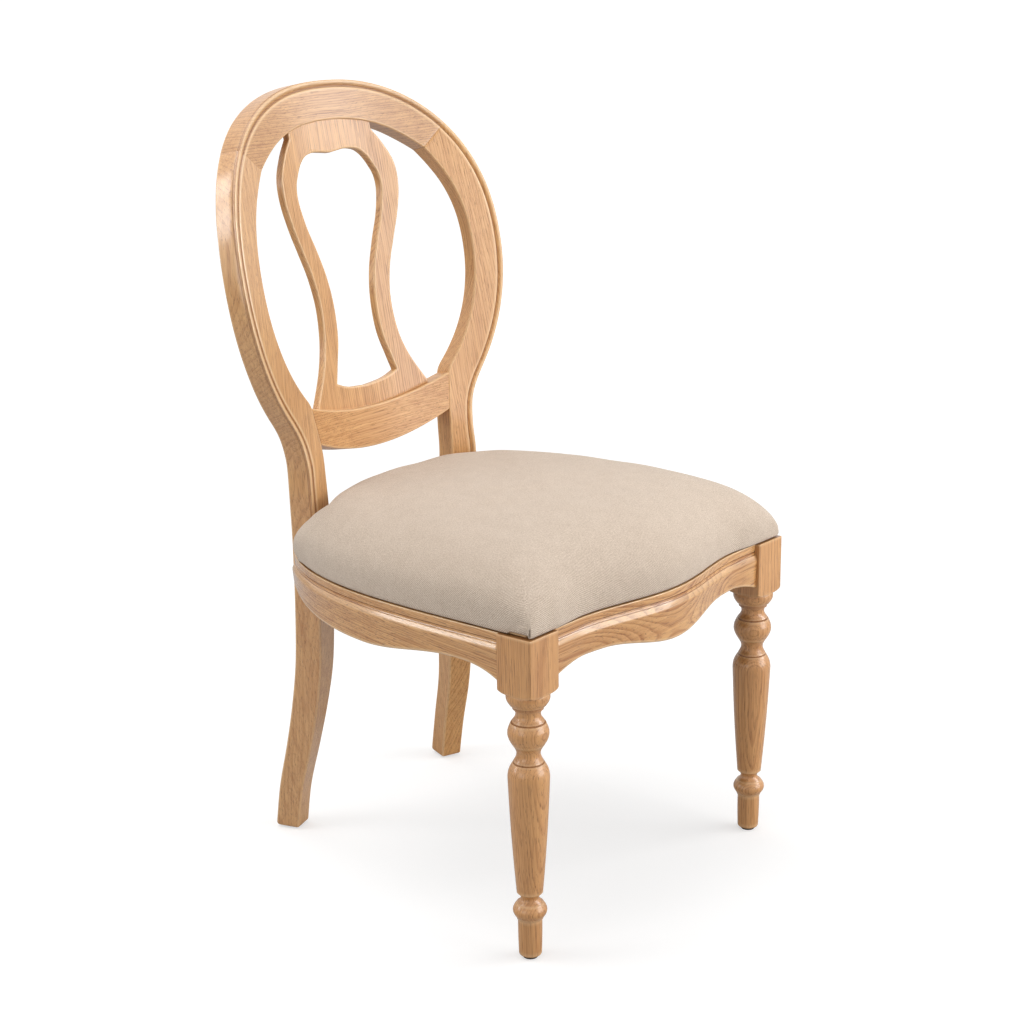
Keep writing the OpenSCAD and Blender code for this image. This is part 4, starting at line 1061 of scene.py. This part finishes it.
# --- Dust cover under the seat: stretched cambric ---------------------------------------------
DUST_INSET, DUST_THICKNESS = 11.0, 0.5
# Share of the way from the middle to the edge, and how far the sheet sags there
SAG = [(0.02, 1.6), (0.2, 1.5), (0.4, 1.3), (0.6, 0.9), (0.8, 0.4), (0.93, 0.1)]


def build_dust_cover():
    outline = pad_outline()[::4]
    out = unit(outline - PAD_CENTRE)
    edge = outline - out * DUST_INSET
    top, bottom = DUST_THICKNESS - 0.02, 0.04
    rows = []
    for share, inset, low, drop in (*[(share, 0, top, drop) for share, drop in SAG],
                                    (1, 0.5, top, 0), (1, 0, mix(top, bottom, 0.3), 0),
                                    (1, 0, mix(top, bottom, 0.7), 0), (1, 0.5, bottom, 0),
                                    *[(share, 0, bottom, drop) for share, drop in SAG[::-1]]):
        plan = PAD_CENTRE + share * (edge - out * inset - PAD_CENTRE)
        wave = 0.25 * np.sin(plan[:, 0] / 19) * np.sin(plan[:, 1] / 23)
        rows.append(level(plan, low - drop + wave * (share < 0.9)))
    obj = make_object("dust_cover_sheet", *loft(on_seat(rows), None), sharp=60)
    ride(obj, "cambric", "dust_cover")


build_dust_cover()


# --- Materials ---------------------------------------------------------------------------------
def colour(red, green, blue):
    """Linear colour with alpha from an sRGB triple of 0-255."""
    def line(v):
        v /= 255
        return v / 12.92 if v <= 0.04045 else ((v + 0.055) / 1.055) ** 2.4
    return (line(red), line(green), line(blue), 1.0)


class Shader:
    """A node tree under construction, with short names for the nodes that it uses."""

    def __init__(self, owner, end="Principled BSDF"):
        owner.use_nodes = True
        self.owner, self.tree = owner, owner.node_tree
        self.end = self.tree.nodes[end]

    def feed(self, socket, value):
        if isinstance(value, bpy.types.NodeSocket):
            self.tree.links.new(value, socket)
        else:
            socket.default_value = value

    def set(self, **values):
        for key, value in values.items():
            self.feed(self.end.inputs[key.replace("_", " ")], value)

    def node(self, kind, inputs=None, **settings):
        """New node; inputs gives a value or a source for a socket's name or number."""
        made = self.tree.nodes.new("ShaderNode" + kind)
        for key, value in settings.items():
            setattr(made, key, value)
        for key, value in (inputs or {}).items():
            self.feed(made.inputs[key], value)
        return made

    def place(self):
        return self.node("TexCoord").outputs["Object"]

    def attribute(self, name, output="Fac"):
        return self.node("Attribute", attribute_name=name).outputs[output]

    def parts(self, vector):
        return self.node("SeparateXYZ", {0: vector}).outputs

    def mapped(self, vector, rotation=(0, 0, 0), scale=(1, 1, 1), location=(0, 0, 0)):
        return self.node("Mapping", {"Vector": vector, "Rotation": rotation, "Scale": scale,
                                     "Location": location}).outputs["Vector"]

    def noise(self, vector, scale, detail, rough=0.5, output="Fac"):
        return self.node("TexNoise", {"Vector": self.mapped(vector, scale=scale), "Scale": 1.0,
                                      "Detail": detail, "Roughness": rough}).outputs[output]

    def math(self, operation, a, b=0.0, clamp=False):
        return self.node("Math", {0: a, 1: b}, operation=operation, use_clamp=clamp).outputs[0]

    def times(self, a, b, clamp=False):
        return self.math("MULTIPLY", a, b, clamp)

    def add(self, first, *others, clamp=False):
        """Sum of the terms in their order; clamp keeps the whole within 0..1."""
        for k, term in enumerate(others, 1):
            first = self.math("ADD", first, term, clamp and k == len(others))
        return first

    def sine(self, value, turns):
        """Sine of the value, with so many turns for each unit of it."""
        return self.math("SINE", self.times(value, 2 * pi * turns))

    def vector(self, operation, a, b=(0, 0, 0)):
        made = self.node("VectorMath", {0: a, 1: b}, operation=operation)
        return made.outputs["Value" if operation == "LENGTH" else "Vector"]

    def stirred(self, place, scale, detail, reach):
        """The place moved about by noise, by up to half of reach each way."""
        noise = self.noise(place, scale, detail, output="Color")
        drift = self.vector("SUBTRACT", noise, (0.5, 0.5, 0.5))
        return self.vector("ADD", place, self.vector("MULTIPLY", drift, reach))

    def rings(self, place, ring):
        """Growth rings counted from the heart, which runs along Z."""
        radius = self.vector("LENGTH", self.vector("MULTIPLY", place, (1, 1, 0)))
        return self.math("DIVIDE", radius, ring)

    def between(self, value, low, high, to_low=0.0, to_high=1.0):
        """The first result below low, the second above high, smooth between."""
        return self.node("MapRange", {"Value": value, "From Min": low, "From Max": high,
                                      "To Min": to_low, "To Max": to_high},
                         interpolation_type="SMOOTHSTEP").outputs["Result"]

    def spread(self, value, low, high):
        """0..1 to low..high."""
        made = self.node("MapRange", {"Value": value, "To Min": low, "To Max": high})
        return made.outputs["Result"]

    def ramp(self, value, *stops):
        made = self.node("ValToRGB", {"Fac": value})
        points = made.color_ramp.elements
        while len(points) < len(stops):
            points.new(0.5)
        for point, (at, shade) in zip(points, stops):
            point.position = at
            point.color = (shade, shade, shade, 1)
        return made.outputs["Color"]

    def mix(self, share, a, b):
        return self.node("Mix", {0: share, 6: a, 7: b}, data_type="RGBA").outputs[2]

    def raised(self, height, strength, distance):
        """The finished material, with a fine relief."""
        made = self.node("Bump", {"Strength": strength, "Distance": distance, "Height": height})
        self.set(Normal=made.outputs["Normal"])
        return self.owner

    def seen(self, *kinds):
        """1 for the camera's own rays and for the named kinds of ray, 0 for light on the object."""
        path = self.node("LightPath").outputs
        total = path["Is Camera Ray"]
        for kind in kinds:
            total = self.math("MAXIMUM", total, path[kind])
        return total


def new_material(name):
    return Shader(bpy.data.materials.new(name))


# Painted highlight and wear on edges; painted shade in grooves, quirks and gaps
WEAR_AND_HIGHLIGHT_TONE, PAINTED_SHADE_TONE = colour(247, 212, 164), colour(134, 82, 38)


def oak(name, turn=(0, 0, 0), pith=(0.09, 0.05, 0), light=(223, 171, 110), dark=(177, 117, 59),
        pore=(118, 72, 35), ring=0.0034, rings=0.42, pores=0.5, rough=0.40, coat=0.25, veil=0.24,
        wave=0.006, lines=0.48, film=1.5):
    """Open-pored oak. turn lays the grain along Z, and pith moves the heart out of the piece."""
    m = new_material(name)
    place = m.mapped(m.place(), rotation=turn, location=pith)
    place = m.stirred(place, (9, 9, 2.6), 2, (wave * 2,) * 3)
    place = m.stirred(place, (45, 45, 16), 1, (0.0032, 0.0032, 0))
    turns = m.rings(place, ring)
    along = m.node("CombineXYZ", {0: turns}).outputs[0]
    uneven = m.noise(along, (0.37, 1, 1), 2, 0.6)
    phase = m.math("FRACT", m.add(turns, m.times(uneven, 2.6)))
    early = m.ramp(phase, (0.0, 0.75), (0.07, 1.0), (0.3, 0.42), (0.62, 0.1), (0.93, 0.0),
                   (1.0, 0.75))
    early = m.times(early, m.spread(uneven, 0.25, 1.5), True)
    fibre = m.noise(place, (520, 520, 7), 3, 0.62)
    streak = m.noise(place, (240, 240, 5), 2, 0.55)
    tone = m.noise(place, (14, 14, 3.5), 2)
    dash = m.noise(place, (1150, 1150, 30), 1.5)
    dash = m.between(m.add(dash, m.times(early, 0.075)), 0.62, 0.685)
    depth = m.add(m.times(early, rings), m.spread(fibre, -0.3, 0.34),
                  m.spread(streak, -lines, lines), m.spread(tone, -0.28, 0.34), 0.28, clamp=True)
    shade = m.mix(depth, colour(*light), colour(*dark))
    shade = m.mix(m.times(dash, pores), shade, colour(*pore))
    # Painted highlight and wear where the edge weight is set, painted shade where the shade weight
    # is set
    wear_and_highlight = m.times(m.attribute("edge"), m.spread(streak, 0.4, 0.85))
    shade = m.mix(wear_and_highlight, shade, WEAR_AND_HIGHLIGHT_TONE)
    shade = m.mix(m.times(m.attribute("groove"), 0.62), shade, PAINTED_SHADE_TONE)
    m.set(Base_Color=shade, Coat_Weight=coat, Coat_Roughness=veil, Coat_IOR=film, IOR=1.5,
          Roughness=m.add(m.spread(fibre, rough - 0.1, rough + 0.12), m.times(dash, 0.2)))
    relief = m.add(m.times(dash, -1.0), m.times(early, -0.35), m.spread(fibre, -0.3, 0.3))
    return m.raised(relief, 0.42, 0.00028)


TWILL_PITCH, THREAD = 2.7, 0.62


def cloth(name):
    """Fine linen-look twill: the weave follows the cloth over the pad, in millimetres."""
    m = new_material(name)
    at = m.attribute("weave", "Vector")
    across, along, _ = m.parts(at)
    slub_a = m.noise(at, (1.1, 0.12, 1), 2, 0.6)
    slub_b = m.noise(at, (0.12, 1.1, 1), 2, 0.6)
    grain = m.noise(at, (0.55, 0.55, 1), 3, 0.75)
    mottle = m.noise(at, (0.05, 0.05, 1), 3, 0.55)
    wander = m.spread(m.noise(at, (0.05, 0.05, 1), 1), -0.7, 0.7)
    way = m.add(m.math("DIVIDE", m.add(across, along), TWILL_PITCH), wander)
    twill = m.sine(way, 1)
    thread = m.times(m.sine(across, 1 / THREAD), m.sine(along, 1 / THREAD))
    lift = m.add(m.times(twill, 0.6), m.times(thread, 0.35))
    tone = m.add(m.times(twill, 0.34), m.spread(grain, -0.95, 0.95), m.spread(slub_a, -0.28, 0.28),
                 m.spread(slub_b, -0.2, 0.2), m.spread(mottle, -0.16, 0.16), 0.5, clamp=True)
    shade = m.mix(tone, colour(180, 159, 139), colour(230, 214, 197))
    # Painted shade in the pleat's slit and on the underside in the gap under the cushion
    shade = m.mix(m.times(m.attribute("groove"), 0.8), shade, colour(88, 74, 62))
    m.set(Base_Color=shade, Roughness=0.88, Sheen_Weight=0.22, Sheen_Roughness=0.45,
          Specular_IOR_Level=0.25)
    return m.raised(m.add(lift, m.spread(grain, -0.9, 0.9)), 0.5, 0.0004)


def bare_wood(name, light, dark, turn=(0, 0, 0)):
    """Unpolished beech or pine: soft rings, short flecks, saw marks."""
    m = new_material(name)
    place = m.mapped(m.place(), rotation=turn, location=(0.05, 0.08, 0))
    place = m.stirred(place, (11, 11, 3), 2, (0.01,) * 3)
    phase = m.math("FRACT", m.rings(place, 0.004))
    early = m.ramp(phase, (0.0, 0.5), (0.1, 0.9), (0.45, 0.2), (0.9, 0.0), (1.0, 0.5))
    fibre = m.noise(place, (500, 500, 12), 3, 0.6)
    fleck = m.between(m.noise(place, (900, 900, 120), 1), 0.6, 0.68)
    saw = m.math("SINE", m.times(m.noise(place, (2, 2, 140), 0), 24))
    depth = m.add(m.times(early, 0.45), m.spread(fibre, -0.1, 0.5), clamp=True)
    shade = m.mix(depth, colour(*light), colour(*dark))
    shade = m.mix(m.times(fleck, 0.4), shade, colour(*(0.8 * v for v in dark)))
    m.set(Base_Color=shade, Roughness=m.spread(fibre, 0.55, 0.75))
    return m.raised(m.add(m.spread(saw, 0, 0.4), m.spread(fibre, -0.5, 0.5)), 0.35, 0.0003)


def plywood(name):
    """Veneers seen at the edge, with a plain-sliced face."""
    m = new_material(name)
    place = m.place()
    layer = m.math("FRACT", m.math("DIVIDE", m.parts(place)[2], 0.0034))
    band = m.ramp(layer, (0.0, 0.15), (0.06, 0.9), (0.48, 0.7), (0.52, 0.3), (0.94, 0.2),
                  (1.0, 0.9))
    fibre = m.noise(place, (30, 700, 30), 3, 0.6)
    end = m.noise(place, (500, 500, 60), 2, 0.6)
    tone = m.add(m.times(band, 0.45), m.spread(fibre, -0.2, 0.6), clamp=True)
    shade = m.mix(tone, colour(221, 190, 146), colour(176, 136, 92))
    m.set(Base_Color=shade, Roughness=m.spread(end, 0.6, 0.8))
    return m.raised(m.add(m.spread(fibre, -0.5, 0.5), m.spread(end, -0.5, 0.5)), 0.3, 0.0003)


def foam(name):
    m = new_material(name)
    cells = m.node("TexVoronoi", {"Vector": m.place(), "Scale": 700.0})
    tone = m.noise(m.place(), (40, 40, 40), 3, 0.6)
    m.set(Base_Color=m.mix(tone, colour(240, 229, 190), colour(222, 204, 156)), Roughness=0.95)
    return m.raised(cells.outputs["Distance"], 0.6, 0.0008)


def cambric(name):
    """Spun-bonded black cover: matted fibres and a field of bonding points."""
    m = new_material(name)
    place = m.place()
    mat = m.math("MAXIMUM", m.noise(place, (900, 140, 300), 4, 0.75),
                 m.noise(place, (140, 900, 300), 4, 0.75))
    x, y, _ = m.parts(place)
    point = m.between(m.times(m.sine(x, 1 / 0.0016), m.sine(y, 1 / 0.0016)), 0.5, 0.9)
    shade = m.mix(m.between(mat, 0.45, 0.75), colour(26, 26, 28), colour(62, 61, 62))
    shade = m.mix(m.times(point, 0.5), shade, colour(18, 18, 20))
    m.set(Base_Color=shade, Roughness=0.82, Sheen_Weight=0.15, Sheen_Roughness=0.5)
    return m.raised(m.math("SUBTRACT", mat, m.times(point, 0.6)), 0.4, 0.0003)


def steel(name):
    """Zinc-plated wood screws, with turned marks and a dull bloom."""
    m = new_material(name)
    place = m.place()
    wear = m.noise(place, (260, 260, 260), 4, 0.65)
    shade = m.mix(wear, colour(196, 196, 190), colour(142, 143, 143))
    m.set(Base_Color=shade, Metallic=1.0, Roughness=m.spread(wear, 0.28, 0.5))
    return m.raised(m.noise(place, (60, 60, 2600), 2, 0.6), 0.2, 0.0002)


def glide(name):
    """Dark nylon glide, scuffed by the floor."""
    m = new_material(name)
    place = m.place()
    scuff = m.noise(place, (900, 70, 400), 4, 0.7)
    tone = m.noise(place, (120, 120, 120), 3, 0.6)
    shade = m.mix(m.between(scuff, 0.5, 0.72), colour(52, 44, 36), colour(92, 82, 70))
    m.set(Base_Color=shade, Roughness=m.spread(tone, 0.4, 0.65))
    return m.raised(m.add(scuff, tone), 0.25, 0.0002)


QUARTER = pi / 2
LEG_TONES = dict(light=(226, 170, 108), dark=(172, 112, 60), pore=(108, 66, 34), wave=0.005,
                 lines=0.34, rings=0.36, coat=0.65, veil=0.16)
RAIL_TONES = dict(light=(228, 176, 114), rings=0.65, coat=1.0, rough=0.34, veil=0.14, lines=0.62,
                  pores=0.75)
WOODS = {
    "back_post_right": oak("oak_post_right", (0.16, 0.05, 0.4), (0.085, 0.06, 0), coat=0.3),
    "back_post_left": oak("oak_post_left", (0.16, -0.10, 1.9), (0.11, -0.04, 0), coat=0.8,
                          rough=0.38, veil=0.2, film=1.85, rings=0.28, lines=0.6),
    "crest_rail": oak("oak_crest", (0.1, QUARTER, 0.12), (0.93, 0.10, 0), light=(213, 162, 104),
                      dark=(164, 109, 57), rings=0.55, lines=0.52, coat=0.9, rough=0.5, veil=0.32),
    "lower_back_rail": oak("oak_lower_rail", (0.0, QUARTER, 0.06), (0.5, 0.16, 0), lines=0.5),
    "splat": oak("oak_splat", (0.194, 0.0, 0.25), (0.19, 0.05, 0), light=(224, 170, 106),
                 dark=(168, 110, 54), ring=0.0032, rings=0.45, lines=0.6, coat=0.72, rough=0.46,
                 veil=0.25),
    "side_rail_left": oak("oak_rail_left", (QUARTER - 0.05, 0.03, 0), (0.23, 0.15, 0),
                          **RAIL_TONES),
    "side_rail_right": oak("oak_rail_right", (QUARTER + 0.06, 0.02, 0), (-0.23, 0.15, 0),
                           **RAIL_TONES),
    "front_rail": oak("oak_rail_front", (0.0, QUARTER + 0.05, 0.0), (-0.372, 0.238, 0),
                      light=(229, 176, 113), dark=(174, 112, 54), rings=0.62, coat=0.9, rough=0.34,
                      veil=0.14, wave=0.01, lines=0.4, pores=0.6),
    "front_leg_left": oak("oak_leg_left", (0.02, 0.01, 0.3), (0.28, -0.27, 0), **LEG_TONES),
    "front_leg_right": oak("oak_leg_right", (-0.02, 0.02, 1.2), (-0.3, -0.2, 0), **LEG_TONES),
    "rear_seat_rail": oak("oak_rail_rear", (0, QUARTER, 0), (0.4, 0.1, 0)),
}
FINISHES = {
    "plywood": plywood("plywood_edge"),
    "foam": foam("foam_cells"),
    "seat_cloth": cloth("cloth_beige_twill"),
    "cambric": cambric("cambric_black"),
    "beech": bare_wood("beech_dowels", (226, 194, 152), (196, 156, 112)),
    "block_wood": bare_wood("block_pine", (222, 186, 138), (184, 140, 92), (0, QUARTER, 0.7)),
    "screw_steel": steel("screw_zinc"),
    "glide_plastic": glide("glide_nylon"),
}


def paint(obj, material):
    if not obj.material_slots:
        obj.data.materials.append(material)
    for spot in obj.material_slots:
        spot.material = material


def paint_all():
    slots = {part["node"]: part["material_slot"] for part in frame["record"]["subparts"]}
    for node, obj in frame["nodes"].items():
        paint(obj, WOODS[node] if node in WOODS else FINISHES[slots[node]])
    for obj in bpy.data.objects:
        if obj.name.endswith("_oak"):
            paint(obj, WOODS[obj.name[:-4]])
    paint(bpy.data.objects["seat_cushion"], FINISHES["seat_cloth"])
    paint(bpy.data.objects["dust_cover_sheet"], FINISHES["cambric"])


paint_all()


# --- Floor, light and camera ------------------------------------------------------------------
# The photograph's camera: focal length in pixels of a 1024 frame, angles, and place in millimetres
FOCAL, FRAME_PIXELS, SENSOR = 2081.8067, 1024, 36
YAW, PITCH, ROLL = -0.85764177, 0.29482057, 0.01195351
CAMERA_PLACE = (-1957.9729, -1471.6842 - ORIGIN_Y, 1253.5683)
WORLD_LIGHT = 0.42
# The floor: half width, own shade, and the glow that lifts it to white away from the chair
FLOOR_HALF, FLOOR_SHADE = 40.0, 0.5
LIFT_FROM, LIFT_TO, LIFT_NEAR, LIFT_FAR = 0.9, 4.0, 0.55, 0.8
# Lamps: place, aim, width and height, watts
LAMPS = {
    "key_front": ((1.2, -2.9, 1.1), (0, 0.0, 0.45), (2.0, 1.7), 45),
    "haze_right": ((2.12, -1.85, 1.74), (0, 0.2, 0.9), (1.3, 1.0), 29),
    "top_soft": ((-0.2, 0.55, 3.0), (0, 0.1, 0.4), (2.2, 2.2), 40),
    "left_sheen": ((-1.3, 0.72, 1.36), (-0.24, 0.215, 0.86), (0.36, 0.46), 2.35),
    "left_sheen_high": ((-0.98, 0.92, 1.66), (-0.24, 0.215, 0.9), (0.34, 0.34), 1.8),
    "left_low": ((-2.3, -0.2, 0.8), (-0.25, 0.1, 0.4), (1.2, 0.8), 5),
    "left_back": ((-2.0, 1.8, 1.1), (-0.25, 0.1, 0.4), (0.8, 0.4), 6.5),
}


def add_camera():
    data = bpy.data.cameras.new("camera")
    data.sensor_width = SENSOR
    data.lens = SENSOR * FOCAL / FRAME_PIXELS
    ahead = Vector((-sin(YAW) * cos(PITCH), cos(YAW) * cos(PITCH), -sin(PITCH)))
    right = Vector((cos(YAW), sin(YAW), 0))
    down = ahead.cross(right)
    x_axis = cos(ROLL) * right + sin(ROLL) * down
    y_axis = sin(ROLL) * right - cos(ROLL) * down
    pose = Matrix((x_axis, y_axis, -ahead)).transposed().to_4x4()
    pose.translation = Vector(CAMERA_PLACE) * MM
    camera = placed("camera", data)
    camera.matrix_world = pose
    bpy.context.scene.camera = camera


def add_lamp(name, place, target, size, watts):
    data = bpy.data.lights.new(name, "AREA")
    data.shape = "RECTANGLE"
    data.size, data.size_y = size
    data.energy = watts
    lamp = placed(name, data)
    lamp.location = place
    lamp.rotation_euler = (Vector(target) - Vector(place)).to_track_quat("-Z", "Y").to_euler()


def add_floor():
    mesh = bpy.data.meshes.new("floor")
    r = FLOOR_HALF
    mesh.from_pydata([(-r, -r, 0), (r, -r, 0), (r, r, 0), (-r, r, 0)], [], [(0, 1, 2, 3)])
    placed("floor", mesh)
    m = new_material("floor_white")
    away = m.vector("LENGTH", m.place())
    lift = m.times(m.seen(), m.between(away, LIFT_FROM, LIFT_TO, LIFT_NEAR, LIFT_FAR))
    m.set(Base_Color=(FLOOR_SHADE, FLOOR_SHADE, FLOOR_SHADE, 1), Roughness=0.9,
          Emission_Color=(1, 1, 1, 1), Emission_Strength=lift)
    mesh.materials.append(m.owner)


def add_world():
    m = Shader(bpy.data.worlds.new("studio"), "Background")
    seen = m.seen("Is Glossy Ray", "Is Transmission Ray")
    m.set(Color=(1, 1, 1, 1), Strength=m.spread(seen, WORLD_LIGHT, 1.0))
    bpy.context.scene.world = m.owner
    bpy.context.scene.view_settings.view_transform = "Standard"


add_camera()
add_floor()
add_world()
for lamp_name, lamp_settings in LAMPS.items():
    add_lamp(lamp_name, *lamp_settings)
